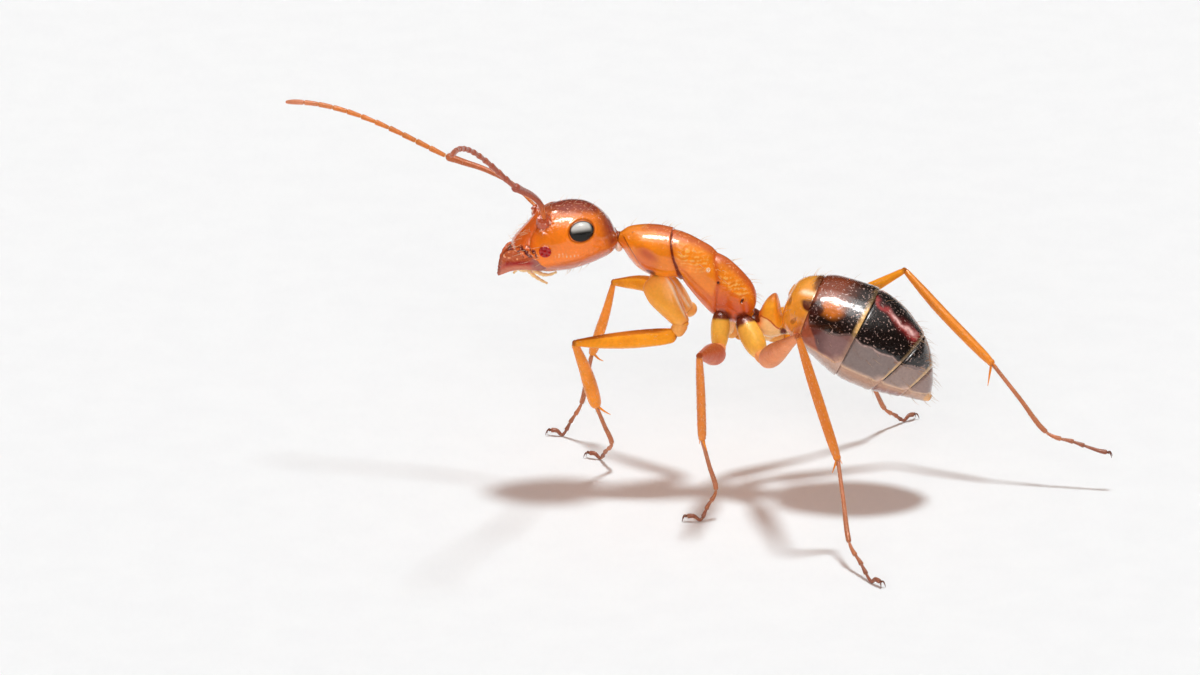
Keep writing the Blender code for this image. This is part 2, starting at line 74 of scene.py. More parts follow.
GASTER_TABLE = (
    (-0.30, 0.98, 0.68, 0.20), (-0.25, 1.12, 0.40, 0.42), (-0.12, 1.28, 0.08, 0.64),
    (0.10, 1.42, -0.06, 0.80), (0.40, 1.61, -0.14, 0.94), (0.80, 1.73, -0.24, 1.04),
    (1.25, 1.82, -0.34, 1.10), (1.70, 1.84, -0.37, 1.11), (2.15, 1.75, -0.31, 1.04),
    (2.60, 1.55, -0.20, 0.89), (2.98, 1.30, -0.07, 0.68), (3.28, 0.95, 0.02, 0.46),
    (3.48, 0.62, 0.07, 0.27), (3.60, 0.32, 0.12, 0.12),
)
GASTER_RINGS = (
    ((0.16, 1.50), (0.42, 0.10)),
    ((1.40, 1.90), (1.50, -0.40)),
    ((2.80, 1.50), (2.30, -0.30)),
    ((3.30, 0.95), (2.95, -0.10)),
)
LEG_LENGTHS = {
    "fore": (2.45, 1.90, 1.18, 0.92, 0.30),
    "mid": (2.70, 2.28, 1.28, 0.82, 0.32),
    "hind": (3.50, 2.98, 1.95, 1.22, 0.34),
}
COXAE = {
    "fore": ((-1.18, -0.30, 4.72), (-0.69, -0.55, 3.87)),
    "mid": ((0.17, -0.27, 4.02), (0.18, -0.55, 3.40)),
    "hind": ((0.70, -0.27, 3.92), (1.14, -0.65, 3.31)),
}
COXA_WIDTHS = {
    "fore": ((0.43, 0.30), (0.50, 0.35), (0.46, 0.35), (0.36, 0.31), (0.22, 0.22)),
    "mid": ((0.25, 0.25), (0.28, 0.27), (0.28, 0.27), (0.27, 0.26), (0.18, 0.18)),
    "hind": ((0.27, 0.25), (0.33, 0.29), (0.34, 0.29), (0.31, 0.28), (0.19, 0.19)),
}
TROCHANTER = {"fore": 0.28, "mid": 0.25, "hind": 0.30}
POSE = {
    "fore_left": ((-168, -10.5), (60, -66.5), (62, -62), (124, -45), 165),
    "fore_right": ((146, -0.5), (168, -73.5), (-143, -77), (168, -60), 175),
    "mid_left": ((-89.5, 15), (93, -75.5), (30, -75), (-128, -57), -172),
    "mid_right": ((46.5, 3), (40, -59.5), (61, -57), (55, -40), 50),
    "hind_left": ((-64.5, 26), (-7.5, -71.5), (-69, -47.5), (-55, -25), -40),
    "hind_right": ((33, 18.5), (-23, -37), (-15.5, -46.5), (-3, -15.5), None),
}


# ------------------------------------------------------------------ small maths
def aim(azimuth, elevation):
    a, e = math.radians(azimuth), math.radians(elevation)
    return np.array([math.cos(e) * math.cos(a), math.cos(e) * math.sin(a), math.sin(e)])


def unit(v):
    v = np.asarray(v, float)
    return v / np.maximum(np.linalg.norm(v, axis=-1, keepdims=True), 1e-12)


def frame_of(origin, forward, up=(0, 0, 1)):
    along = unit(forward)
    out = unit(np.cross(up, along))
    return np.asarray(origin, float), along, out, np.cross(along, out)


HEAD = frame_of(HEAD_ORIGIN, aim(180 + HEAD_YAW, -HEAD_PITCH))
TRUNK = frame_of(TRUNK_ORIGIN, aim(0, -TRUNK_PITCH))
GASTER = frame_of(GASTER_ORIGIN, aim(0, -GASTER_PITCH))


def place(fr, s, l, n):
    o, a, b, c = fr
    s, l, n = (np.asarray(v, float)[..., None] for v in (s, l, n))
    return o + s * a + l * b + n * c


def smooth(lo, hi, x):
    t = np.clip((np.asarray(x, float) - lo) / (hi - lo), 0, 1)
    return t * t * (3 - 2 * t)


def bell(d, width):
    return np.exp(-((d / width) ** 2))


def read_table(table, t):
    """Smooth curves through the rows of a table, by its first column."""
    rows = np.array(table, float)
    x, y = rows[:, 0], rows[:, 1:]
    slope = np.gradient(y, axis=0) / np.gradient(x)[:, None]
    slope[1:-1] = (y[2:] - y[:-2]) / (x[2:] - x[:-2])[:, None]
    t = np.clip(np.asarray(t, float), x[0], x[-1])
    i = np.clip(np.searchsorted(x, t, side="right") - 1, 0, len(x) - 2)
    w = x[i + 1] - x[i]
    u = ((t - x[i]) / w)[..., None]
    w = w[..., None]
    return (
        (2 * u**3 - 3 * u**2 + 1) * y[i]
        + (u**3 - 2 * u**2 + u) * w * slope[i]
        + (-2 * u**3 + 3 * u**2) * y[i + 1]
        + (u**3 - u**2) * w * slope[i + 1]
    )


def line_distance(x, y, points):
    """Distance of points (x, y) from a broken line, and how far along it."""
    best, where = np.full(np.shape(x), 1e9), np.zeros(np.shape(x))
    run = 0.0
    for (ax, ay), (bx, by) in zip(points, points[1:]):
        dx, dy = bx - ax, by - ay
        size = math.hypot(dx, dy)
        t = np.clip(((x - ax) * dx + (y - ay) * dy) / size**2, 0, 1)
        d = np.hypot(x - ax - t * dx, y - ay - t * dy)
        where = np.where(d < best, run + t * size, where)
        best = np.minimum(best, d)
        run += size
    return best, where


def rolling(p, seed, scale, octaves=3, stretch=(1, 1, 1)):
    """A smooth random field made of a few waves, about -1 to 1."""
    gen = np.random.default_rng(seed)
    total, weight = np.zeros(p.shape[:-1]), 0.0
    for k in range(octaves):
        for _ in range(7):
            direction = unit(gen.normal(size=3)) * np.array(stretch)
            phase, jitter = gen.uniform(0, 6.283), gen.uniform(0.7, 1.3)
            amount = 0.6**k
            total += amount * np.sin((p @ direction) * scale * 2**k * jitter + phase)
            weight += amount * 0.5
    return total / math.sqrt(weight * 7)


def surface_normals(p, wrap_v=True):
    """Outward normals of a grid of points, rows along the body."""
    du = np.gradient(p, axis=0)
    if wrap_v:
        dv = np.roll(p, -1, axis=1) - np.roll(p, 1, axis=1)
    else:
        dv = np.gradient(p, axis=1)
    return unit(np.cross(dv, du))


# ------------------------------------------------------------------ mesh pieces
class Piece:
    """Collects closed grids of points and makes one mesh object of them."""

    def __init__(self, name):
        self.name, self.count = name, 0
        self.points, self.quads, self.tris = [], [], []
        self.quad_uv, self.tri_uv, self.boxes = [], [], []
        self.quad_mat, self.tri_mat, self.marks = [], [], []

    def grid(self, p, marks=None, slot=0, uv_weight=1.0):
        """A tube of rings (n, m, 3), closed at both ends by a fan."""
        n, m = p.shape[:2]
        base = self.count
        index = base + np.arange(n * m).reshape(n, m)
        ends = [base + n * m, base + n * m + 1]
        verts = np.concatenate([p.reshape(-1, 3), [p[0].mean(0)], [p[-1].mean(0)]])
        i, j = np.meshgrid(np.arange(n - 1), np.arange(m), indexing="ij")
        i, j = i.ravel(), j.ravel()
        k = (j + 1) % m
        quads = np.stack([index[i, j], index[i, k], index[i + 1, k], index[i + 1, j]], 1)
        u0, u1 = i / (n - 1), (i + 1) / (n - 1)
        v0, v1 = j / m, (j + 1) / m
        quad_uv = np.stack(
            [np.stack(c, 1) for c in ((u0, v0), (u0, v1), (u1, v1), (u1, v0))], 1
        )
        jj = np.arange(m)
        kk = (jj + 1) % m
        first = np.stack([np.full(m, ends[0]), index[0, kk], index[0, jj]], 1)
        last = np.stack([np.full(m, ends[1]), index[-1, jj], index[-1, kk]], 1)
        tris = np.concatenate([first, last])
        mid = (jj + 0.5) / m
        z, one = np.zeros(m), np.ones(m)
        first_uv = np.stack(
            [np.stack(c, 1) for c in ((z, mid), (z, (jj + 1) / m), (z, jj / m))], 1
        )
        last_uv = np.stack(
            [np.stack(c, 1) for c in ((one, mid), (one, jj / m), (one, (jj + 1) / m))], 1
        )
        tri_uv = np.concatenate([first_uv, last_uv])

        local = np.concatenate([quads[:, [0, 1, 2]], quads[:, [0, 2, 3]], tris]) - base
        a, b, c = (verts[local[:, q]] - verts[0] for q in range(3))
        if np.einsum("ij,ij->i", a, np.cross(b, c)).sum() < 0:
            quads, quad_uv = quads[:, ::-1], quad_uv[:, ::-1]
            tris, tri_uv = tris[:, ::-1], tri_uv[:, ::-1]

        long = np.linalg.norm(np.diff(p, axis=0), axis=2).sum(0).mean() * uv_weight
        round_ = np.linalg.norm(np.roll(p, -1, 1) - p, axis=2).sum(1).max() * uv_weight
        self.boxes.append((max(long, 1e-3), max(round_, 1e-3), len(quads), len(tris)))
        self.points.append(verts)
        self.quads.append(quads)
        self.tris.append(tris)
        self.quad_uv.append(quad_uv)
        self.tri_uv.append(tri_uv)
        self.quad_mat.append(np.full(len(quads), slot))
        self.tri_mat.append(np.full(len(tris), slot))
        given = {}
        for key, value in (marks or {}).items():
            value = np.broadcast_to(np.asarray(value, float), (n, m))
            given[key] = np.concatenate(
                [value.ravel(), [value[0].mean()], [value[-1].mean()]]
            )
        self.marks.append((len(verts), given))
        self.count += len(verts)
        return self

    def pack(self):
        """Places each grid's patch side by side in the unit square."""
        sizes = [(b[0], b[1]) for b in self.boxes]
        order = sorted(range(len(sizes)), key=lambda q: -sizes[q][1])
        margin = 0.004 if len(sizes) < 60 else 0.0015

        def lay(scale):
            x = y = row = 0.0
            spots = [None] * len(sizes)
            for q in order:
                w, h = (v * scale + 2 * margin for v in sizes[q])
                if x + w > 1:
                    x, y, row = 0.0, y + row, 0.0
                if x + w > 1 or y + h > 1:
                    return None
                spots[q] = (x + margin, y + margin)
                x, row = x + w, max(row, h)
            return spots

        low, high = 0.0, 1.0 / max(max(s) for s in sizes)
        for _ in range(30):
            middle = (low + high) / 2
            low, high = (middle, high) if lay(middle) else (low, middle)
        return low, lay(low)

    def build(self, materials, slot, replaces=(), smooth_shade=True):
        scale, spots = self.pack()
        for q, (x, y) in enumerate(spots):
            w, h = self.boxes[q][0] * scale, self.boxes[q][1] * scale
            for part in (self.quad_uv, self.tri_uv):
                part[q] = part[q] * np.array([w, h]) + np.array([x, y])
        points = (np.concatenate(self.points) + SHIFT) * MM
        quads, tris = np.concatenate(self.quads), np.concatenate(self.tris)
        uv = np.concatenate(
            [np.concatenate(self.quad_uv).reshape(-1, 2), np.concatenate(self.tri_uv).reshape(-1, 2)]
        )
        index = np.concatenate(self.quad_mat + self.tri_mat)
        marks = {}
        for key in sorted({k for _, given in self.marks for k in given}):
            marks[key] = np.concatenate(
                [given.get(key, np.zeros(size)) for size, given in self.marks]
            )
        ob = mesh_of(self.name, points, quads, tris, uv, index, marks, smooth_shade)
        for mat in materials if isinstance(materials, (list, tuple)) else [materials]:
            ob.data.materials.append(mat)
        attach(ob, BODY)
        if replaces:
            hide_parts(*replaces)
        return ob


def mesh_of(name, points, quads, tris, uv, index, marks, smooth_shade=True):
    points = np.maximum(points, (-1.0, -1.0, 0.0))
    mesh = bpy.data.meshes.new(name)
    mesh.vertices.add(len(points))
    mesh.vertices.foreach_set("co", np.ascontiguousarray(points, dtype=np.float32).ravel())
    loops = np.concatenate([quads.ravel(), tris.ravel()]).astype(np.int32)
    starts = np.concatenate(
        [np.arange(len(quads)) * 4, len(quads) * 4 + np.arange(len(tris)) * 3]
    ).astype(np.int32)
    mesh.loops.add(len(loops))
    mesh.loops.foreach_set("vertex_index", loops)
    mesh.polygons.add(len(starts))
    mesh.polygons.foreach_set("loop_start", starts)
    mesh.polygons.foreach_set("material_index", index.astype(np.int32))
    mesh.update(calc_edges=True)
    layer = mesh.uv_layers.new(name="OFBake")
    layer.data.foreach_set("uv", np.ascontiguousarray(uv, dtype=np.float32).ravel())
    for key, value in marks.items():
        mark = mesh.attributes.new(key, "FLOAT", "POINT")
        mark.data.foreach_set("value", value.astype(np.float32))
    mesh.polygons.foreach_set("use_smooth", np.full(len(starts), smooth_shade))
    mesh.update()
    ob = bpy.data.objects.new(name, mesh)
    bpy.context.scene.collection.objects.link(ob)
    return ob


# --------------------------------------------------------------- grids of limbs
def curve_through(points, count, ends=0.0):
    """Points spaced evenly along a smooth curve, closer at both ends."""
    p = np.asarray(points, float)
    if len(p) == 2:
        dense = p[0] + (p[1] - p[0]) * np.linspace(0, 1, 200)[:, None]
    else:
        full = np.concatenate([[2 * p[0] - p[1]], p, [2 * p[-1] - p[-2]]])
        dense = []
        for i in range(1, len(full) - 2):
            a, b, c, d = full[i - 1 : i + 3]
            t = np.linspace(0, 1, 60, endpoint=i == len(full) - 3)[:, None]
            dense.append(
                0.5
                * (
                    2 * b
                    + (c - a) * t
                    + (2 * a - 5 * b + 4 * c - d) * t**2
                    + (3 * b - a - 3 * c + d) * t**3
                )
            )
        dense = np.concatenate(dense)
    run = np.concatenate([[0], np.cumsum(np.linalg.norm(np.diff(dense, axis=0), axis=1))])
    u = np.linspace(0, 1, count)
    u = u * (1 - ends) + ends * (0.5 - 0.5 * np.cos(math.pi * u))
    want = u * run[-1]
    return np.stack([np.interp(want, run, dense[:, k]) for k in range(3)], 1), want, run[-1]


def limb(points, profile, count=60, sides=28, side=(0, 0, 1), dome=(True, True), ends=0.75):
    """A round or flattened limb: profile rows are (share of its length, half
    width towards side, half width across). Returns grid, share, angle, axes."""
    path, run, total = curve_through(points, count, ends)
    rows = np.array(profile, float)
    if rows.shape[1] == 2:
        rows = np.column_stack([rows, rows[:, 1]])
    t = run / total
    size = read_table(rows, t) if len(rows) > 2 else np.stack(
        [np.interp(t, rows[:, 0], rows[:, k]) for k in (1, 2)], 1
    )
    size = np.maximum(size, 0.004)
    for flag, from_end, radius in (
        (dome[0], run, rows[0, 1:].mean()),
        (dome[1], total - run, rows[-1, 1:].mean()),
    ):
        if flag:
            u = np.clip(from_end / radius, 0, 1)
            size = size * np.sqrt(np.maximum(1 - (1 - u) ** 2, 0.0004))[:, None]
    tangent = unit(np.gradient(path, axis=0))
    side = np.asarray(side, float)
    across = unit(side - (tangent @ side)[:, None] * tangent)
    other = np.cross(tangent, across)
    a = np.arange(sides) * 2 * math.pi / sides
    ring = (
        np.cos(a)[None, :, None] * across[:, None] * size[:, None, :1]
        + np.sin(a)[None, :, None] * other[:, None] * size[:, None, 1:]
    )
    share = np.broadcast_to(t[:, None], (count, sides))
    angle = np.broadcast_to(a[None], (count, sides))
    return path[:, None] + ring, share, angle, (path, tangent, across, other, run, total)


# -------------------------------------------------------------------- materials
class Paint:
    """A Principled material and the few node shapes that all of them share."""

    def __init__(self, name, **constants):
        self.mat = bpy.data.materials.new(name)
        self.mat.use_nodes = True
        self.tree = self.mat.node_tree
        self.shader = self.tree.nodes["Principled BSDF"]
        self.set(**constants)
        coord = self.new("ShaderNodeTexCoord")
        mapping = self.new("ShaderNodeMapping")
        mapping.inputs["Scale"].default_value = (1000, 1000, 1000)
        self.link(coord.outputs["Object"], mapping.inputs["Vector"])
        self.mm = mapping.outputs["Vector"]

    def new(self, kind):
        return self.tree.nodes.new(kind)

    def link(self, a, b):
        self.tree.links.new(a, b)

    def set(self, **constants):
        names = {
            "ior": "IOR", "level": "Specular IOR Level", "coat": "Coat Weight",
            "coat_rough": "Coat Roughness", "coat_ior": "Coat IOR", "rough": "Roughness",
            "sub": "Subsurface Weight", "sub_scale": "Subsurface Scale",
            "sub_radius": "Subsurface Radius", "sheen": "Sheen Weight",
            "sheen_rough": "Sheen Roughness",
        }
        for key, value in constants.items():
            self.shader.inputs[names[key]].default_value = value

    def feed(self, socket, value):
        if isinstance(value, bpy.types.NodeSocket):
            self.link(value, socket)
        elif isinstance(value, (tuple, list)) and len(value) == 3:
            socket.default_value = (*value, 1) if len(socket.default_value) == 4 else value
        else:
            socket.default_value = value

    def attr(self, name):
        node = self.new("ShaderNodeAttribute")
        node.attribute_name = name
        return node.outputs["Fac"]

    def noise(self, scale, detail=2.0, rough=0.5, warp=0.0, stretch=None, turn=None):
        node = self.new("ShaderNodeTexNoise")
        node.inputs["Scale"].default_value = scale
        node.inputs["Detail"].default_value = detail
        node.inputs["Roughness"].default_value = rough
        node.inputs["Distortion"].default_value = warp
        vector = self.mm
        if stretch or turn:
            mapping = self.new("ShaderNodeMapping")
            mapping.inputs["Scale"].default_value = stretch or (1, 1, 1)
            mapping.inputs["Rotation"].default_value = turn or (0, 0, 0)
            self.link(self.mm, mapping.inputs["Vector"])
            vector = mapping.outputs["Vector"]
        self.link(vector, node.inputs["Vector"])
        return node.outputs["Fac"]

    def cells(self, scale, feature="DISTANCE_TO_EDGE"):
        node = self.new("ShaderNodeTexVoronoi")
        node.feature = feature
        node.inputs["Scale"].default_value = scale
        self.link(self.mm, node.inputs["Vector"])
        return node.outputs["Distance"]

    def math(self, op, a, b=0.0, c=0.0, clamp=False):
        node = self.new("ShaderNodeMath")
        node.operation = op
        node.use_clamp = clamp
        for socket, value in zip(node.inputs, (a, b, c)):
            self.feed(socket, value)
        return node.outputs[0]

    def span(self, value, lo, hi, out_lo=0.0, out_hi=1.0):
        node = self.new("ShaderNodeMapRange")
        node.interpolation_type = "SMOOTHSTEP"
        for socket, v in zip(node.inputs, (value, lo, hi, out_lo, out_hi)):
            self.feed(socket, v)
        return node.outputs["Result"]

    def mix(self, fac, a, b, mode="MIX"):
        node = self.new("ShaderNodeMix")
        node.data_type = "RGBA"
        node.blend_type = mode
        self.feed(node.inputs[0], fac)
        self.feed(node.inputs[6], a)
        self.feed(node.inputs[7], b)
        return node.outputs[2]

    def ragged(self, name, amount=0.35, scale=9.0):
        """A painted mark with an uneven edge."""
        wobble = self.math("MULTIPLY_ADD", self.noise(scale, 3.0), amount, -amount / 2)
        return self.span(self.math("ADD", self.attr(name), wobble), 0.2, 0.8)

    def faded(self, name, amount=0.3, scale=6.0):
        """A painted mark that melts into its surroundings, broken by noise."""
        wobble = self.math("MULTIPLY_ADD", self.noise(scale, 3.0), 2 * amount, 1 - amount)
        return self.math("MULTIPLY", self.attr(name), wobble, clamp=True)

    def bumps(self, *layers, socket="Normal"):
        """Each layer is (height socket, size in millimetres)."""
        normal = None
        for height, size in layers:
            node = self.new("ShaderNodeBump")
            node.inputs["Strength"].default_value = 1.0
            node.inputs["Distance"].default_value = size * MM
            self.link(height, node.inputs["Height"])
            if normal:
                self.link(normal, node.inputs["Normal"])
            normal = node.outputs["Normal"]
        self.link(normal, self.shader.inputs[socket])

    def color(self, value):
        self.feed(self.shader.inputs["Base Color"], value)

    def roughness(self, value):
        self.feed(self.shader.inputs["Roughness"], value)


def tint(color, k):
    return tuple(min(1.0, c * k) for c in color)


def cuticle(name, base, layers=(), rough=0.3, grain=0.0016, cell=28.0, pits=0.0, speck=0.10, glint=0.0, wave=0.004, spark=None, **constants):
    """Amber cuticle: mottled colour, painted marks, a fine net of cells."""
    settings = dict(ior=1.56, level=0.16, coat=0.3, coat_rough=0.10, sub=0.12, sub_scale=0.00022, sub_radius=(1.0, 0.32, 0.08))
    settings.update(constants)
    p = Paint(name, **settings)
    broad = p.noise(1.7, 3.0, 0.55, 0.4)
    fine = p.noise(15.0, 3.0, 0.6)
    color = p.mix(p.span(broad, 0.3, 0.7), tint(base, 0.86), tint(base, 1.08))
    for mark, shade, amount, scale in layers:
        fac = p.ragged(mark, amount, scale) if scale > 0 else p.faded(mark, amount, -scale)
        color = p.mix(fac, color, shade)
    color = p.mix(
        p.math("MULTIPLY", p.span(fine, 0.38, 0.62), speck), color, tint(base, 0.25), "MIX"
    )
    # painted glints: pale dots of colour, standing in for sparkling highlights, where the skin's glint mark is set
    if spark:
        dots = p.math("MULTIPLY", p.span(p.noise(19.0, 1.0, 0.5), 0.62, 0.70), p.attr("spark"), clamp=True)
        color = p.mix(dots, color, spark)
    p.color(color)
    p.roughness(p.span(p.noise(6.0, 3.0), 0.3, 0.7, rough * 0.8, rough * 1.25))
    heights = [
        (p.span(p.cells(cell), 0.0, 0.22), grain),
        (p.noise(11.0, 3.0, 0.6), grain * 3.0),
    ]
    if pits:
        heights.append((p.span(p.cells(6.5, "F1"), 0.0, 0.28), pits))
    if glint:
        heights.append((p.noise(13.0, 2.0, 0.65), glint))
    p.bumps(*heights)
    if settings["coat"] > 0:
        p.bumps((p.noise(4.5, 2.0), wave), (p.noise(12.0, 2.0, 0.6), 0.0016), socket="Coat Normal")
    return p


# -------------------------------------------------------------------- the stage
def set_stage():
    scene = bpy.context.scene
    camera = bpy.data.objects.new("camera", bpy.data.cameras.new("camera"))
    scene.collection.objects.link(camera)
    camera.data.sensor_width = 36.0
    camera.data.lens = 290.4
    camera.data.clip_start = 0.005
    camera.data.clip_end = 20.0
    eye = Vector((37.228, -201.602, 78.245)) * MM
    look = Vector((-2.218, 1.332, 3.001)) * MM
    camera.location = eye
    camera.rotation_euler = (look - eye).to_track_quat("-Z", "Y").to_euler()
    scene.camera = camera
    scene.view_settings.view_transform = "Standard"

    floor = bpy.data.meshes.new("floor")
    n, rings = 96, (0.0, 0.03, 0.12, 0.5, 2.0, 6.0)
    verts, faces = [(0, 0, 0)], []
    for r in rings[1:]:
        for k in range(n):
            a = 2 * math.pi * k / n
            verts.append((r * math.cos(a), r * math.sin(a), 0))
    for k in range(n):
        faces.append((0, 1 + k, 1 + (k + 1) % n))
    for q in range(len(rings) - 2):
        for k in range(n):
            a, b = 1 + q * n + k, 1 + q * n + (k + 1) % n
            faces.append((a, a + n, b + n, b))
    floor.from_pydata(verts, [], faces)
    floor.update()
    ground = bpy.data.objects.new("floor", floor)
    scene.collection.objects.link(ground)
    p = Paint("pale_paper", rough=0.85, level=0.12)
    p.color(p.mix(p.span(p.noise(0.9, 3.0), 0.3, 0.7), (0.888, 0.888, 0.890), (0.902, 0.902, 0.902)))
    p.bumps((p.noise(14.0, 2.0), 0.0012))
    floor.materials.append(p.mat)

    lamp = bpy.data.lights.new("overhead", "SUN")
    lamp.energy = 2.36
    lamp.color = (0.817, 0.952, 1.0)
    lamp.angle = math.radians(9)
    overhead = bpy.data.objects.new("overhead", lamp)
    overhead.rotation_euler = Vector((0.02, 0.2, 1.0)).to_track_quat("Z", "Y").to_euler()
    overhead.location = (0, 0, 0.2)
    overhead.visible_glossy = False
    scene.collection.objects.link(overhead)

    lamp = bpy.data.lights.new("front", "SUN")
    lamp.energy = 1.45
    lamp.angle = math.radians(50)
    front = bpy.data.objects.new("front", lamp)
    front.rotation_euler = Vector((0.1, -0.93, 0.32)).to_track_quat("Z", "Y").to_euler()
    front.location = (0, -0.2, 0.1)
    front.visible_glossy = False
    scene.collection.objects.link(front)

    world = bpy.data.worlds.new("studio")
    scene.world = world
    world.use_nodes = True
    world.cycles.sampling_method = "NONE"
    tree = world.node_tree
    tree.nodes.clear()

    def new(kind):
        return tree.nodes.new(kind)

    def scalar(op, *values, clamp=False):
        node = new("ShaderNodeMath")
        node.operation = op
        node.use_clamp = clamp
        for socket, v in zip(node.inputs, values):
            if isinstance(v, bpy.types.NodeSocket):
                tree.links.new(v, socket)
            else:
                socket.default_value = v
        return node.outputs[0]

    def span(value, lo, hi, out_lo=0.0, out_hi=1.0):
        node = new("ShaderNodeMapRange")
        node.interpolation_type = "SMOOTHSTEP"
        tree.links.new(value, node.inputs[0])
        for socket, v in zip(list(node.inputs)[1:5], (lo, hi, out_lo, out_hi)):
            socket.default_value = v
        return node.outputs["Result"]

    def background(color, strength):
        node = new("ShaderNodeBackground")
        node.inputs["Color"].default_value = (*color, 1)
        if isinstance(strength, bpy.types.NodeSocket):
            tree.links.new(strength, node.inputs["Strength"])
        else:
            node.inputs["Strength"].default_value = strength
        return node.outputs[0]

    def mix(fac, a, b):
        node = new("ShaderNodeMixShader")
        tree.links.new(fac, node.inputs[0])
        tree.links.new(a, node.inputs[1])
        tree.links.new(b, node.inputs[2])
        return node.outputs[0]

    coord = new("ShaderNodeTexCoord")
    parts = new("ShaderNodeSeparateXYZ")
    tree.links.new(coord.outputs["Generated"], parts.inputs[0])
    x, y, z = parts.outputs
    high = scalar("MAXIMUM", z, 0.02)
    px = scalar("ABSOLUTE", scalar("ADD", scalar("DIVIDE", x, high), 0.06))
    py = scalar("ABSOLUTE", scalar("ADD", scalar("DIVIDE", y, high), 0.26))
    core = scalar(
        "MULTIPLY", span(px, 0.26, 0.36, 1.0, 0.0), span(py, 0.09, 0.14, 1.0, 0.0)
    )
    wide = scalar(
        "MULTIPLY", span(px, 0.40, 0.60, 1.0, 0.0), span(py, 0.34, 0.56, 1.0, 0.0)
    )
    box = scalar("ADD", scalar("MULTIPLY", core, 30.0), scalar("MULTIPLY", wide, 3.2))
    box = scalar("MULTIPLY", box, span(z, 0.1, 0.3))
    sky = scalar("ADD", span(z, 0.45, 0.92, 0.035, 0.75), box)
    path = new("ShaderNodeLightPath")
    fill = background((0.30, 0.20, 0.165), 1.0)
    gloss = background((1.0, 0.985, 0.97), sky)
    seen = background((0.94, 0.94, 0.945), 1.0)
    out = new("ShaderNodeOutputWorld")
    shader = mix(path.outputs["Is Glossy Ray"], fill, gloss)
    shader = mix(path.outputs["Is Camera Ray"], shader, seen)
    tree.links.new(shader, out.inputs["Surface"])


set_stage()


# ------------------------------------------------------------------------- head
def section_grid(fr, table, stations, angles, grow=0.0, narrow=0.0, tip=(0.03, 0.03)):
    """Rings of a body part with rounded poles. Angles run from out over up."""
    first, last = stations[0], stations[-1]
    extra = np.array([0.98, 0.9, 0.7, 0.4, 0.15])
    s = np.concatenate([first - tip[0] * extra, stations, last + tip[1] * extra[::-1]])
    shrink = np.concatenate(
        [np.sqrt(1 - extra**2), np.ones(len(stations)), np.sqrt(1 - extra[::-1] ** 2)]
    )
    top, bottom, wide = read_table(table, np.clip(s, first, last)).T
    mid = (top + bottom) / 2
    tall = ((top - bottom) / 2 + grow) * shrink
    wide = (wide + grow) * shrink
    a = np.broadcast_to(angles, (len(s), angles.shape[-1]))
    pinch = 1 - narrow * np.maximum(0, np.sin(a)) ** 2
    l = wide[:, None] * pinch * np.cos(a)
    n = mid[:, None] + tall[:, None] * np.sin(a)
    ss = np.broadcast_to(s[:, None], l.shape)
    return ss.copy(), l, n, a


def eased(first, last, count, ends=0.6):
    u = np.linspace(0, 1, count)
    u = u * (1 - ends) + ends * (0.5 - 0.5 * np.cos(math.pi * u))
    return first + (last - first) * u


CLYPEUS_LINE = ((1.46, 0.0), (1.50, 0.20), (1.56, 0.33), (1.66, 0.37), (1.78, 0.40), (1.90, 0.47), (1.99, 0.62))
CARINA_LINE = ((1.62, 0.20), (1.47, 0.23), (1.25, 0.28), (1.02, 0.29))
SPOT = (1.67, 0.50, 0.135)


def eye_offsets(s, n):
    """Distance from the eye's centre in units of its half axes."""
    ds, dn = s - EYE_PLACE[0], (n - EYE_PLACE[2]) / 0.93
    return np.hypot(ds / EYE_SIZE[0], dn / EYE_SIZE[1])


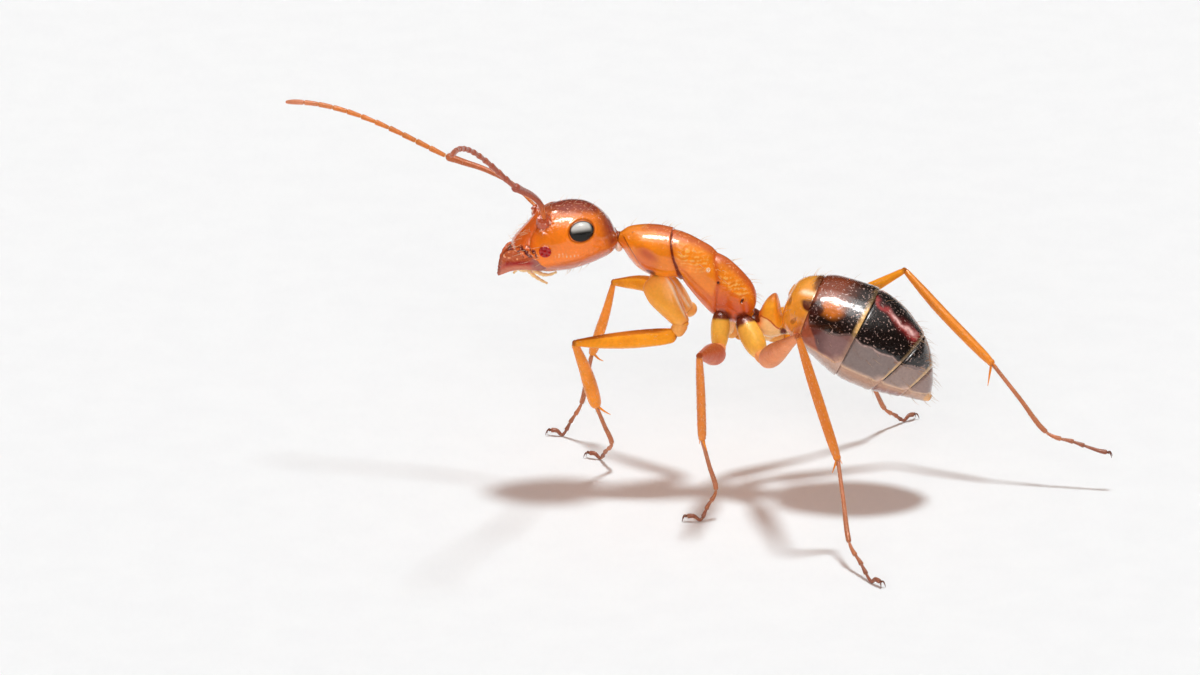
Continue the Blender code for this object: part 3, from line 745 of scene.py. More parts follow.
def make_head():
    angles = np.arange(256) * 2 * math.pi / 256
    s, l, n, a = section_grid(HEAD, HEAD_TABLE, eased(-0.03, 2.29, 270), angles, grow=-0.008)
    side = np.abs(l)
    upper = smooth(0.15, 0.45, n)
    flank = smooth(0.45, 0.62, side)

    border, _ = line_distance(s, side, CLYPEUS_LINE)
    line_s = np.interp(side, [q[1] for q in CLYPEUS_LINE], [q[0] for q in CLYPEUS_LINE])
    ahead = smooth(-0.02, 0.05, s - line_s) * upper
    carina, run = line_distance(s, side, CARINA_LINE)
    pit = np.hypot(s - 1.46, side - 0.40)
    rim = np.hypot(s - SOCKET[0], side - SOCKET[1])
    eye = eye_offsets(s, n)
    spot = np.hypot(s - SPOT[0], n - SPOT[1])
    genal, along = line_distance(s, n, ((1.66, 0.365), (1.25, 0.250), (0.95, 0.18)))
    genal_2, along_2 = line_distance(s, n, ((1.38, 0.355), (1.02, 0.29)))

    d = np.zeros(s.shape)
    d -= 0.014 * bell(border, 0.026) * upper
    d += 0.012 * ahead * smooth(0.0, 0.16, border)
    d += 0.014 * bell(side, 0.035) * smooth(1.52, 1.6, s) * smooth(2.25, 2.1, s) * upper
    d += 0.022 * bell(carina, 0.038) * smooth(0.0, 0.1, run) * smooth(0.62, 0.45, run) * upper
    d -= 0.035 * bell(pit, 0.135) * upper
    d += 0.020 * bell(rim - 0.095, 0.022) * upper
    d -= 0.04 * smooth(0.07, 0.03, rim) * upper
    d -= 0.007 * bell(side, 0.014) * smooth(0.8, 1.0, s) * smooth(1.5, 1.4, s) * upper
    d -= 0.022 * bell(eye - 1.05, 0.06) * flank
    d += 0.010 * bell(eye - 1.22, 0.09) * flank
    # a cluster of beads on the cheek, and a row of fine pits below it
    bead = np.cos((s - SPOT[0]) * 36) * np.cos((s - SPOT[0]) * 18 + (n - SPOT[1]) * 31) * np.cos(
        (s - SPOT[0]) * 18 - (n - SPOT[1]) * 31
    )
    inside = smooth(SPOT[2] * 1.06, SPOT[2] * 0.9, spot) * flank
    d += inside * (0.014 + 0.020 * bead)
    d -= 0.012 * bell(spot - SPOT[2] * 1.12, 0.014) * flank
    beads = bell(genal, 0.026) * smooth(0.1, 0.8, np.cos(along * 2 * math.pi / 0.088))
    beads = np.maximum(beads, 0.8 * bell(genal_2, 0.021) * smooth(0.1, 0.8, np.cos(along_2 * 2 * math.pi / 0.075)))
    uneven = rolling(np.stack([s, side, n], -1), 12, 24.0, 2)
    beads = beads * smooth(-0.45, 0.35, uneven) * smooth(SPOT[2] * 1.0, SPOT[2] * 1.2, spot) * flank
    d += 0.012 * beads
    # the mandible's seat and the hind margin
    seat = np.hypot((s - 2.02) / 0.16, (n - 0.22) / 0.24)
    d -= 0.035 * smooth(1.15, 0.7, seat) * smooth(0.3, 0.45, side)
    d -= 0.006 * bell(s - 0.06, 0.03)
    p = place(HEAD, s, l, n)
    d += 0.0022 * rolling(p, 3, 9.0) + 0.0035 * rolling(p, 5, 3.0, 2)
    front = bell(border, 0.16) * upper * smooth(1.4, 1.5, s)
    d += 0.004 * rolling(p, 8, 30.0, 2) * front
    around_socket = smooth(0.32, 0.14, np.hypot(s - 1.46, side - 0.42)) * upper
    socket_grit = rolling(p, 9, 56.0, 2)
    d += 0.014 * socket_grit * around_socket
    jaw_seat = smooth(0.25, 0.12, np.hypot((s - 2.08) / 1.25, n - 0.50)) * smooth(0.22, 0.36, side)
    seat_grit = rolling(p, 10, 50.0, 2)
    d += 0.018 * seat_grit * jaw_seat
    p = p + surface_normals(p) * d[..., None]

    rise = np.sin(a)
    marks = {
        "dark": np.maximum(
            smooth(0.0, 0.22, rise - 0.72 - 0.16 * smooth(0.85, 1.45, s)) * smooth(0.1, 0.3, s),
            smooth(0.42, 0.08, s) * smooth(-0.75, -0.25, rise),
        )
        * smooth(1.75, 1.5, s),
        "clypeus": np.maximum(ahead, smooth(1.93, 2.02, s)) * smooth(-0.25, 0.1, n),
        "groove": np.maximum(
            0.45 * bell(border, 0.028) * upper * smooth(0.2, 0.45, side),
            np.maximum(0.8 * bell(eye - 1.05, 0.05) * flank, smooth(0.085, 0.04, rim) * upper),
        ),
        "socket": bell(pit, 0.17) * upper,
        "under": smooth(-0.34, -0.72, rise),
        "spot": inside,
        "beads": beads,
        "cheek": bell(border, 0.13) * smooth(0.0, 0.05, line_s - s) * upper,
        "shade": jaw_seat * smooth(0.5, -0.3, seat_grit),
        # pale painted glints on the tops of the lumps round the feeler socket and at the jaw seat
        "grit": np.maximum(
            smooth(0.1, 0.9, socket_grit) * around_socket, 0.9 * smooth(0.45, 1.0, seat_grit) * jaw_seat
        ),
        # painted shade: darker in the hollows between the beads of the cheek spot
        "pit": inside * smooth(0.15, -0.35, bead),
        # painted glints on the upper head, round the feeler socket and at the jaw seat
        "spark": 0.75 * smooth(0.45, 0.70, rise) * smooth(1.75, 1.45, s) * smooth(0.0, 0.2, s) + 0.6 * around_socket + 0.8 * jaw_seat,
    }
    paint = cuticle(
        "head_amber",
        (0.93, 0.215, 0.010),
        (
            ("under", (0.54, 0.135, 0.060), 0.2, -5.0),
            ("cheek", (0.70, 0.105, 0.006), 0.3, -6.0),
            ("dark", (0.30, 0.048, 0.026), 0.35, -5.0),
            ("clypeus", (0.70, 0.115, 0.010), 0.3, 9.0),
            ("socket", (0.56, 0.080, 0.02), 0.5, -9.0),
            ("grit", (0.95, 0.38, 0.18), 0.5, 14.0),
            ("shade", (0.13, 0.016, 0.012), 0.9, 14.0),
            ("groove", (0.22, 0.026, 0.004), 0.15, -12.0),
            ("spot", (0.42, 0.0015, 0.004), 0.0, 9.0),
            ("pit", (0.11, 0.0005, 0.002), 0.0, -9.0),
            ("beads", (1.0, 0.66, 0.36), 0.5, -16.0),
        ),
        rough=0.22,
        grain=0.0018,
        glint=0.0060,
        coat=0.95,
        coat_rough=0.07,
        level=0.10,
        wave=0.011,
        spark=(0.92, 0.46, 0.30),
    )
    head = Piece("head_skin")
    head.grid(p, marks)
    ob = head.build(paint.mat, "head_shell", ["head"])

    # torulus: the raised ring each scape turns in
    rings = Piece("feeler_sockets")
    for sign in (1, -1):
        base = place(HEAD, SOCKET[0], sign * SOCKET[1], SOCKET[2])
        axis = unit(HEAD[3] * 0.86 + HEAD[2] * sign * 0.34 + HEAD[1] * 0.18)
        u = unit(np.cross(axis, HEAD[1]))
        v = np.cross(axis, u)
        line = ((0.001, 0.18), (0.040, 0.20), (0.070, 0.225), (0.100, 0.225), (0.135, 0.19), (0.170, 0.12), (0.205, 0.03), (0.235, -0.08))
        h, r = np.linspace(0, 1, 34), np.linspace(0, 1, len(line))
        line = np.column_stack([np.interp(h, r, [q[0] for q in line]), np.interp(h, r, [q[1] for q in line])])
        a = np.arange(96) * 2 * math.pi / 96
        p = np.stack(
            [base + axis * h + r * (np.cos(a)[:, None] * u + np.sin(a)[:, None] * v) for r, h in line]
        )
        lump = rolling(p, 15, 58.0, 2) * smooth(0.1, 0.35, h)[:, None]
        p = p + 0.024 * lump[..., None] * (axis + 0.5 * (np.cos(a)[:, None] * u + np.sin(a)[:, None] * v)[None])
        # pale painted glints on the tops of the torulus lumps
        rings.grid(p, {"grit": smooth(0.1, 0.9, lump)})
    ring_paint = cuticle(
        "socket_brown", (0.48, 0.075, 0.018), (("grit", (1.0, 0.60, 0.42), 0.6, 16.0),),
        rough=0.14, grain=0.003, cell=16.0, level=0.6, glint=0.006,
    )
    rings.build(ring_paint.mat, "head_shell")
    return ob


def make_eyes():
    p_eye = Paint("eye_black", rough=0.17, ior=1.5, level=0.32)
    base = p_eye.mix(p_eye.span(p_eye.noise(7.0, 2.0), 0.3, 0.7), (0.003, 0.0025, 0.002), (0.008, 0.006, 0.005))
    # painted highlight: a pale grey patch over the top of each lens stands in for its reflection of the light above
    p_eye.color(p_eye.mix(p_eye.faded("haze", 0.12, 9.0), base, (0.60, 0.59, 0.555)))
    p_eye.bumps((p_eye.span(p_eye.cells(46.0), 0.0, 0.3), 0.0006))
    for sign, name in ((1, "left"), (-1, "right")):
        s, l, n = EYE_PLACE
        centre = place(HEAD, s, sign * l, n)
        outward = unit(HEAD[2] * sign * 0.93 + HEAD[3] * 0.36 - HEAD[1] * 0.02)
        long = unit(HEAD[1] - outward * (HEAD[1] @ outward))
        tall = np.cross(outward, long)
        t = np.linspace(0.02, math.pi - 0.02, 90)[:, None]
        a = (np.arange(120) * 2 * math.pi / 120)[None]
        x, y, z = np.sin(t) * np.cos(a), np.sin(t) * np.sin(a), np.cos(t) + 0 * a
        facet = 1 + 0.003 * np.cos(a * 60) * np.cos(t * 45) * (np.sin(t) > 0.25)
        p = (
            centre
            + (x * facet * EYE_SIZE[0])[..., None] * long
            + (y * facet * EYE_SIZE[1])[..., None] * tall
            + (z * facet * EYE_SIZE[2])[..., None] * outward
        )
        piece = Piece("eye_lens_" + name)
        high, across = y * np.sign(tall[2]), np.hypot(x, y)
        # mask of the painted highlight: the upper half of the lens, fading downwards
        haze = smooth(-0.24, 0.40, high - 0.22 * x) * smooth(0.97, 0.84, across)
        piece.grid(p, {"haze": haze * smooth(-0.92, -0.62, x) * smooth(0.92, 0.66, x) * (z > 0)})
        piece.build(p_eye.mat, "eye", ["eye_" + name])


def make_jaws():
    paint = cuticle(
        "jaw_red",
        (0.56, 0.105, 0.055),
        (
            ("seat", (0.36, 0.14, 0.12), 0.6, 10.0),
            ("upper", (0.54, 0.11, 0.033), 0.4, -7.0),
            ("band", (0.36, 0.018, 0.014), 0.5, -8.0),
            ("crest", (0.90, 0.38, 0.18), 0.7, 14.0),
            ("lower", (0.58, 0.19, 0.11), 0.25, -5.0),
            ("teeth", (0.30, 0.045, 0.030), 0.1, -10.0),
        ),
        rough=0.24,
        grain=0.0025,
        cell=18.0,
        glint=0.005,
    )
    # stations along the blade, from the cheek to the chewing edge
    rows = np.array(
        (
            # top edge (along, up), bottom edge (along, up), out, thick
            (1.596, 0.386, 1.702, 0.019, 0.50, 0.08),
            (1.756, 0.499, 1.849, 0.014, 0.52, 0.12),
            (1.920, 0.563, 2.037, 0.074, 0.47, 0.14),
            (2.095, 0.573, 2.223, 0.132, 0.40, 0.135),
            (2.265, 0.591, 2.418, 0.147, 0.31, 0.12),
            (2.391, 0.601, 2.578, 0.118, 0.22, 0.095),
            (2.502, 0.552, 2.705, 0.074, 0.13, 0.070),
            (2.585, 0.457, 2.754, 0.053, 0.07, 0.045),
            (2.625, 0.380, 2.752, 0.079, 0.05, 0.020),
        )
    )
    rows = np.column_stack(
        [
            (rows[:, 0] + rows[:, 2]) / 2, rows[:, 4], (rows[:, 1] + rows[:, 3]) / 2,
            (rows[:, 0] - rows[:, 2]) / 2, (rows[:, 1] - rows[:, 3]) / 2, rows[:, 5],
        ]
    )
    run = np.concatenate([[0], np.cumsum(np.hypot(*np.diff(rows[:, :2], axis=0).T))])
    table = np.column_stack([run, rows])
    for sign, name in ((1, "left"), (-1, "right")):
        t = eased(0, run[-1], 120, 0.5)
        s, l, n, tip_s, tip_n, thick = read_table(table, t).T
        ds, dl = np.gradient(s, t), np.gradient(l, t)
        size = np.hypot(ds, dl)
        a = (np.arange(110) * 2 * math.pi / 110)[None]
        c, q = np.cos(a), np.sin(a)
        # a flatter blade: the section is a rounded slab
        ca = np.sign(c) * np.abs(c) ** 0.8
        share = (t / run[-1])[:, None]
        # the chewing edge carries six small teeth
        edge = smooth(0.86, 1.0, share)
        tooth = np.maximum(0, np.cos((q * 0.5 + 0.5) * 5.5 * 2 * math.pi)) ** 0.7
        reach = edge * (0.030 * tooth * (1.1 - 0.4 * q) + 0.02 * bell(q + 1.0, 0.28))
        across = thick[:, None] * ca
        ss = s[:, None] - across * (dl / size)[:, None] + tip_s[:, None] * q + reach * 0.85
        ll = l[:, None] + across * (ds / size)[:, None] - reach * 0.18
        nn = n[:, None] + tip_n[:, None] * q
        # a hollow upper face above a blunt ridge
        hollow = bell(q - 0.30, 0.32) * smooth(0.15, 0.5, share) * (c > 0)
        ll = np.maximum(ll - 0.03 * hollow, 0.004)
        ll = np.where(share > 0.9, np.maximum(ll, 0.006), ll)
        p = place(HEAD, ss, sign * ll, nn)
        rugged = rolling(p, 21, 52.0, 2)
        above = smooth(-0.15, 0.25, q) * smooth(0.2, 0.4, share)
        p = p + surface_normals(p)[...] * ((0.0020 + 0.010 * above * (c > 0)) * rugged)[..., None] * sign
        marks = {
            "upper": above + 0 * share,
            # pale painted glints on the tops of the lumps of the upper blade
            "crest": above * smooth(0.0, 0.9, rugged),
            "band": bell(q + 0.12, 0.20) * smooth(0.15, 0.35, share) * smooth(0.92, 0.75, share),
            "lower": smooth(-0.30, -0.62, q) * smooth(0.15, 0.4, share),
            "seat": smooth(0.42, 0.22, share) * smooth(0.5, 0.1, q),
            "teeth": 0.8 * smooth(0.90, 0.99, share) * tooth + 0 * share,
        }
        jaw = Piece("jaw_" + name)
        jaw.grid(p, marks)
        jaw.build(paint.mat, "jaw", ["mandible_" + name])


def make_mouth():
    """Labrum, palps, and a dark tube painted as the shade in the hollow between clypeus and jaws."""
    pale = cuticle("palp_pale", (0.95, 0.60, 0.30), rough=0.3, grain=0.0012, sub=0.3)
    dark = cuticle("mouth_gap_shade", (0.20, 0.030, 0.020), rough=0.22, grain=0.006, cell=14.0)
    mouth = Piece("palps")
    long_palps = (
        ((2.10, 0.20, 0.03), (2.108, 0.20, -0.05), (2.03, 0.22, -0.18), (1.92, 0.24, -0.31), (1.80, 0.26, -0.43)),
        ((2.02, 0.29, 0.04), (1.98, 0.30, -0.04), (1.86, 0.33, -0.14), (1.72, 0.355, -0.20), (1.53, 0.37, -0.19)),
        ((2.30, 0.10, 0.12), (2.40, 0.10, 0.05), (2.47, 0.10, -0.005)),
    )
    for sign in (1, -1):
        for k, line in enumerate(long_palps):
            pts = [place(HEAD, s, sign * l, n) for s, l, n in line]
            total = len(line) * 1.0
            share = np.linspace(0, 1, 26)
            waist = 1 - 0.28 * np.abs(np.cos(share * math.pi * (total - 0.5))) ** 6
            profile = [(t, r * w) for t, r, w in zip(share, np.interp(share, [0, 0.5, 1], [0.054, 0.042, 0.027]), waist)]
            p, *_ = limb(pts, profile, 70, 16, side=HEAD[2])
            mouth.grid(p)
    p, *_ = limb(
        [place(HEAD, 2.02, 0, 0.02), place(HEAD, 2.20, 0, 0.03), place(HEAD, 2.36, 0, 0.10)],
        ((0, 0.20, 0.08), (0.5, 0.22, 0.10), (1, 0.12, 0.07)), 50, 40, side=HEAD[2],
    )
    mouth.grid(p)
    mouth.build(pale.mat, "jaw")

    # a dark tube that stands for the shade in the gap between clypeus and jaws
    inner = Piece("mouth_hollow")
    p, *_ = limb(
        [place(HEAD, 1.98, -0.40, 0.38), place(HEAD, 2.28, -0.16, 0.44), place(HEAD, 2.28, 0.16, 0.44), place(HEAD, 1.98, 0.40, 0.38)],
        ((0, 0.12, 0.10), (0.3, 0.16, 0.12), (0.7, 0.16, 0.12), (1, 0.12, 0.10)), 90, 60, side=HEAD[3],
    )
    p = p + surface_normals(p) * (0.012 * rolling(p, 31, 26.0, 2))[..., None]
    inner.grid(p)
    inner.build(dark.mat, "jaw")


# --------------------------------------------------------------------- antennae
VIEW_RIGHT, VIEW_UP = np.array([0.982, 0.191, 0.0]), np.array([-0.065, 0.336, 0.939])


def feeler_path(start, azimuths, elevations, length, count):
    points = [start]
    for i in range(count):
        t = (i + 0.5) / count
        w = ((1 - t) * (1 - 2 * t), 4 * t * (1 - t), t * (2 * t - 1))
        az = sum(x * y for x, y in zip(azimuths, w))
        el = sum(x * y for x, y in zip(elevations, w))
        points.append(points[-1] + aim(az, el) * length / count)
    return np.array(points)


def make_feelers():
    grounds = []
    for sign, name in ((1, "left"), (-1, "right")):
        near = sign > 0
        start = place(HEAD, SOCKET[0], sign * SOCKET[1], 1.04)
        if near:
            elbow = start + aim(-97.5, 36.0) * SCAPE_LENGTH
            turns = ((-124, -102, -88), (44, 30, 0))
        else:
            elbow = start + aim(162.5, 21.0) * SCAPE_LENGTH
            turns = ((170, 175, 169), (20, 17, -10))
        bow = VIEW_RIGHT * (0.13 if near else 0.12) + VIEW_UP * (0.14 if near else 0.19)
        down = start - HEAD[3] * 0.10
        middle = [start + (elbow - start) * t + bow * b for t, b in ((0.12, 0.42), (0.35, 1.0), (0.62, 0.86), (0.84, 0.36))]
        line = [down, start + bow * 0.06, *middle, elbow]
        profile = (
            (0.0, 0.050), (0.03, 0.072), (0.055, 0.070), (0.08, 0.045), (0.12, 0.052),
            (0.35, 0.064), (0.7, 0.078), (0.9, 0.092), (0.97, 0.104), (1.0, 0.098),
        )
        if not near:
            profile = [(q, r * (0.66 + 0.24 * q)) for q, r in profile]
        p, share, angle, _ = limb(line, profile, 170, 30, side=VIEW_UP)
        # painted shade: the near feeler is painted darker purple-brown, the far scape in part
        shade = {"joint": bell(share - 0.07, 0.02) * near, "purple": smooth(0.15, 0.5, share) * (1.0 if near else 0.55)}
        paint = cuticle(
            "feeler_" + name,
            (0.70, 0.19, 0.05) if near else (0.66, 0.195, 0.035),
            (
                ("purple", (0.38, 0.092, 0.060), 0.3, -6.0),
                ("joint", (0.26, 0.05, 0.02) if near else (1.0, 0.70, 0.34), 0.2, 9.0),
                ("tip", (0.66, 0.25, 0.14), 0.3, -6.0),
            ),
            rough=0.32, grain=0.0014, cell=40.0, glint=0.004,
        )
        scape = Piece("scape_skin_" + name)
        scape.grid(p, shade)
        scape.build(paint.mat, "feeler", ["scape_" + name])
        grounds.append((p, 0.05))

        path = feeler_path(elbow, *turns, FUNICULUS_LENGTH, 44)
        lash = Piece("funiculus_skin_" + name)
        stations = np.concatenate([[0], np.cumsum([1.22] + [1.0] * 9 + [1.35])])
        stations = stations / stations[-1]
        dense, run, total = curve_through(path, 400)
        t = run / total
        for k in range(11):
            lo, hi = stations[k], stations[k + 1]
            pick = (t >= lo - 0.003) & (t <= hi + 0.006)
            seg = dense[pick]
            if len(seg) < 6:
                continue
            line = seg[:: max(1, len(seg) // 6)]
            line = np.concatenate([line, seg[-1:]]) if not np.allclose(line[-1], seg[-1]) else line
            thin = 0.050 + 0.004 * math.sin(k)
            wide = (0.072 if near else 0.067) - 0.0008 * k
            if k == 10:
                prof = ((0, thin * 0.9), (0.12, wide * 0.95), (0.5, wide), (0.8, wide * 0.82), (1, wide * 0.5))
            else:
                prof = ((0, thin * 0.85), (0.15, thin), (0.55, (thin + wide) / 2), (0.9, wide), (1, wide * 0.93))
            g, gs, ga, _ = limb(line, prof, 34, 24, side=VIEW_UP, dome=(True, True), ends=0.5)
            lash.grid(
                g,
                {
                    "joint": smooth(0.12, 0.0, gs) * 0.8,
                    "purple": np.full(gs.shape, 0.85 if near else 0.0),
                    "tip": np.full(gs.shape, smooth(6, 11, k) * (0.3 if near else 1.0)),
                },
            )
            grounds.append((g, 0.035))
        lash.build(paint.mat, "feeler", ["funiculus_" + name])
    return grounds


make_head()
make_eyes()
make_jaws()
make_mouth()
FEELERS = make_feelers()


# --------------------------------------------------------------------- mesosoma
MESONOTUM_LINE = ((0.946, 1.05), (0.946, 0.824), (1.074, 0.635), (1.25, 0.44), (1.44, 0.25), (1.65, 0.0), (1.76, -0.20))
METANOTUM_LINE = ((2.07, 1.05), (2.09, 0.80), (2.42, 0.40), (2.57, 0.02), (2.72, -0.30), (2.76, -0.55))
COLLAR_LINE = ((-0.14, 0.16), (0.08, 0.15), (0.25, 0.08), (0.43, 0.0), (0.62, -0.11), (0.83, -0.23), (1.00, -0.30), (1.30, -0.25))


def make_mesosoma():
    angles = np.arange(220) * 2 * math.pi / 220
    s, l, n, a = section_grid(
        TRUNK, TRUNK_TABLE, eased(-0.06, 3.44, 330, 0.5), angles, grow=-0.010, narrow=0.16, tip=(0.02, 0.04)
    )
    rise, side = np.sin(a), np.abs(l)
    first, _ = line_distance(s, n, MESONOTUM_LINE)
    second, _ = line_distance(s, n, METANOTUM_LINE)
    collar, _ = line_distance(s, n, COLLAR_LINE)
    collar_n = np.interp(s, [q[0] for q in COLLAR_LINE], [q[1] for q in COLLAR_LINE])
    below = smooth(0.0, 0.03, collar_n - n) * smooth(1.15, 0.95, s)
    flank = smooth(0.12, 0.28, side)
    behind_first = smooth(-0.03, 0.06, s - np.interp(-n, [-q[1] for q in MESONOTUM_LINE], [q[0] for q in MESONOTUM_LINE]))
    step_second = s - np.interp(-n, [-q[1] for q in METANOTUM_LINE], [q[0] for q in METANOTUM_LINE])

    dish = np.hypot((s - 0.72) / 0.36, (n - 0.20) / 0.17)
    spiracle_1 = np.hypot(s - 2.08, n - 0.54)
    spiracle_2 = np.hypot(s - 2.42, n - 0.40)
    spiracle_3 = np.hypot((s - 3.09) / 0.8, (n - 0.30) / 1.5)
    bulla = np.hypot((s - 2.98) / 0.30, (n + 0.17) / 0.15)
    coxa_holes = [
        np.hypot((s - 1.30) / 0.36, (n + 0.30) / 0.13),
        np.hypot((s - 2.72) / 0.18, (n + 0.48) / 0.12),
        np.hypot((s - 3.18) / 0.15, (n + 0.40) / 0.13),
    ]

    d = np.zeros(s.shape)
    d += 0.020 * bell(first + 0.0, 0.11) * (1 - behind_first)
    d -= 0.040 * bell(first, 0.018)
    d -= 0.012 * behind_first * bell(first, 0.09)
    d -= 0.014 * bell(second, 0.045) * smooth(1.0, 0.6, n)
    d -= 0.010 * bell(second, 0.016) * smooth(0.55, 0.2, n)
    d -= 0.016 * below * flank
    d -= 0.020 * bell(collar, 0.014) * smooth(1.05, 0.9, s) * flank
    d -= 0.030 * smooth(1.0, 0.0, dish) * flank
    d += 0.012 * bell(spiracle_1 - 0.045, 0.016) * flank - 0.030 * smooth(0.035, 0.01, spiracle_1) * flank
    d -= 0.030 * smooth(0.045, 0.012, spiracle_2) * flank
    d += 0.014 * bell(spiracle_3 - 0.052, 0.014) * flank - 0.030 * smooth(0.042, 0.015, spiracle_3) * flank
    d += 0.018 * bell(bulla, 0.8) * flank - 0.018 * bell(bulla - 1.15, 0.14) * flank
    # a raised mesopleural plate with a shallow furrow above the middle coxa
    furrow, _ = line_distance(s, n, ((1.50, 0.28), (1.95, 0.10), (2.30, 0.02), (2.52, -0.02)))
    d -= 0.010 * bell(furrow, 0.05) * flank * smooth(1.45, 1.7, s)
    edge, _ = line_distance(s, n, ((1.75, -0.10), (2.1, -0.24), (2.5, -0.40), (2.72, -0.44)))
    d += 0.010 * bell(edge, 0.03) * flank
    p = place(TRUNK, s, l, n)
    # fine rugae on the flanks behind the middle, coarser on the propodeum
    rug = smooth(1.15, 1.4, s) * smooth(2.1, 1.9, s) * bell((n - 0.60) / 0.22, 1.0)
    rug2 = smooth(2.30, 2.50, s) * smooth(3.25, 3.05, s) * bell((n - 0.50) / 0.24, 1.0)
    waves = 0.85 * rolling(p, 41, 50.0, 2) + 0.5 * np.sin(
        (n - 0.35 * s) * 66 + 5.0 * rolling(p, 42, 9.0, 2)
    )
    d += 0.0050 * (rug + 1.2 * rug2) * waves * flank
    d += 0.0028 * rolling(p, 43, 7.0)
    top = smooth(0.6, 0.95, rise)
    d -= 0.005 * top * bell(s - 2.07, 0.03)
    p = p + surface_normals(p) * d[..., None]

    ragged = 1 + 0.5 * rolling(p, 47, 14.0, 2)
    broad = 0.027 + 0.045 * smooth(0.82, 0.98, n) + 0.022 * bell(n - 0.10, 0.25)
    sutures = np.maximum(bell(first, broad * ragged) * (1 - 0.75 * bell(n - 0.86, 0.055)), 0.85 * bell(collar, 0.016) * smooth(1.05, 0.85, s) * flank)
    # painted shade: near-black in the openings where the middle and hind coxae meet the trunk, and in a small blob at
    # the fore coxa
    dark = np.zeros(s.shape)
    for hole, weight in zip(coxa_holes, (0.0, 1.0, 1.0)):
        dark = np.maximum(dark, weight * smooth(1.0, 0.55, hole) * flank)
    # painted shade round the bases of the coxae, where they meet the trunk
    cup = np.zeros(s.shape)
    for centre, reach in (((0.22, -0.40, 4.00), 0.27), ((0.72, -0.40, 3.96), 0.29), ((-1.44, -0.42, 4.94), 0.16)):
        away = np.minimum(np.linalg.norm(p - np.array(centre), axis=-1), np.linalg.norm(p - np.array(centre) * (1, -1, 1), axis=-1))
        cup = np.maximum(cup, smooth(reach, reach * 0.6, away + 0.03 * rolling(p, 46, 9.0, 2)))
    blob = np.hypot((s - 1.13) / 0.10, (n + 0.26) / 0.055)
    dark = np.maximum(dark, smooth(1.1, 0.6, blob) * flank)
    marks = {
        "suture": np.maximum(sutures, 0.45 * bell(second, 0.016) * smooth(0.5, 0.1, n)),
        # painted shade: a soft darker band beside the sutures and the furrow; the mark also darkens the lower pronotum
        "soft": np.maximum(np.maximum(np.maximum(bell(second, 0.06), 0.85 * bell(first, 0.075)), 0.6 * bell(furrow, 0.07) * flank) * 0.8,
            0.9 * smooth(0.30, -0.25, n) * smooth(1.15, 1.0, s) * smooth(0.35, 0.6, s) * (1 - below) * flank),
        "cup": cup,
        # painted shade in the shallow hollow of the pronotum's side
        "dish": smooth(1.15, 0.1, dish) * flank,
        "dark": dark,
        "lower": smooth(0.42, 0.0, n - 0.10 * (s - 2.6)) * smooth(2.42, 2.68, s) * flank,
        "collar": below * flank,
        "plate": smooth(0.02, -0.04, n - 0.45 + 0.172 * (s - 2.43) + 0.02 * rolling(p, 48, 9.0, 2)) * smooth(2.38, 2.48, s) * flank,
        "pleuron": smooth(1.35, 1.6, s) * smooth(0.15, -0.15, n) * smooth(2.75, 2.5, s) * flank,
        # painted glints on the upper flank of the trunk
        "spark": 0.45 * smooth(0.3, 0.6, rise) * smooth(0.1, 0.4, s),
        "yellow": smooth(0.28, 0.02, n) * smooth(1.05, 0.8, s) * smooth(0.3, 0.6, s) * (1 - below) * flank,
        "spot": np.maximum(smooth(0.040, 0.022, spiracle_2), smooth(0.045, 0.025, spiracle_3)) * flank,
        "rim": bell(spiracle_1 - 0.03, 0.022) * flank,
        "top": smooth(0.75, 0.98, rise) * smooth(0.2, 0.5, s),
        # painted glints: pale colour on the crests of the fine rugae
        "rug": 0.9 * np.maximum(rug, rug2) * smooth(-0.1, 0.8, waves) * flank,
    }
    paint = cuticle(
        "trunk_amber",
        (0.94, 0.255, 0.010),
        (
            ("yellow", (0.88, 0.24, 0.045), 0.3, -4.0),
            ("top", (0.64, 0.12, 0.020), 0.4, -5.0),
            ("rug", (1.0, 0.52, 0.12), 0.6, -12.0),
            ("dish", (0.56, 0.085, 0.010), 0.3, -5.0),
            ("pleuron", (0.72, 0.155, 0.036), 0.3, -5.0),
            ("plate", (0.82, 0.180, 0.010), 0.3, -5.0),
            ("lower", (0.62, 0.092, 0.012), 0.3, -5.0),
            ("collar", (0.86, 0.21, 0.020), 0.3, -6.0),
            ("soft", (0.62, 0.095, 0.008), 0.3, -6.0),
            ("suture", (0.20, 0.020, 0.003), 0.1, 14.0),
            ("cup", (0.15, 0.022, 0.012), 0.4, -12.0),
            # dark: painted shade in the coxal openings
            ("dark", (0.045, 0.006, 0.003), 0.5, 9.0),
            ("spot", (0.08, 0.010, 0.003), 0.0, 9.0),
            ("rim", (0.95, 0.66, 0.42), 0.0, 9.0),
        ),
        rough=0.21,
        grain=0.0016,
        glint=0.0045,
        coat=0.95,
        coat_rough=0.07,
        level=0.10,
        wave=0.004,
        spark=(1.0, 0.50, 0.16),
    )
    piece = Piece("mesosoma_skin")
    piece.grid(p, marks)
    piece.build(paint.mat, "trunk_shell", ["pronotum", "mesothorax", "propodeum"])
    return s, l, n, p


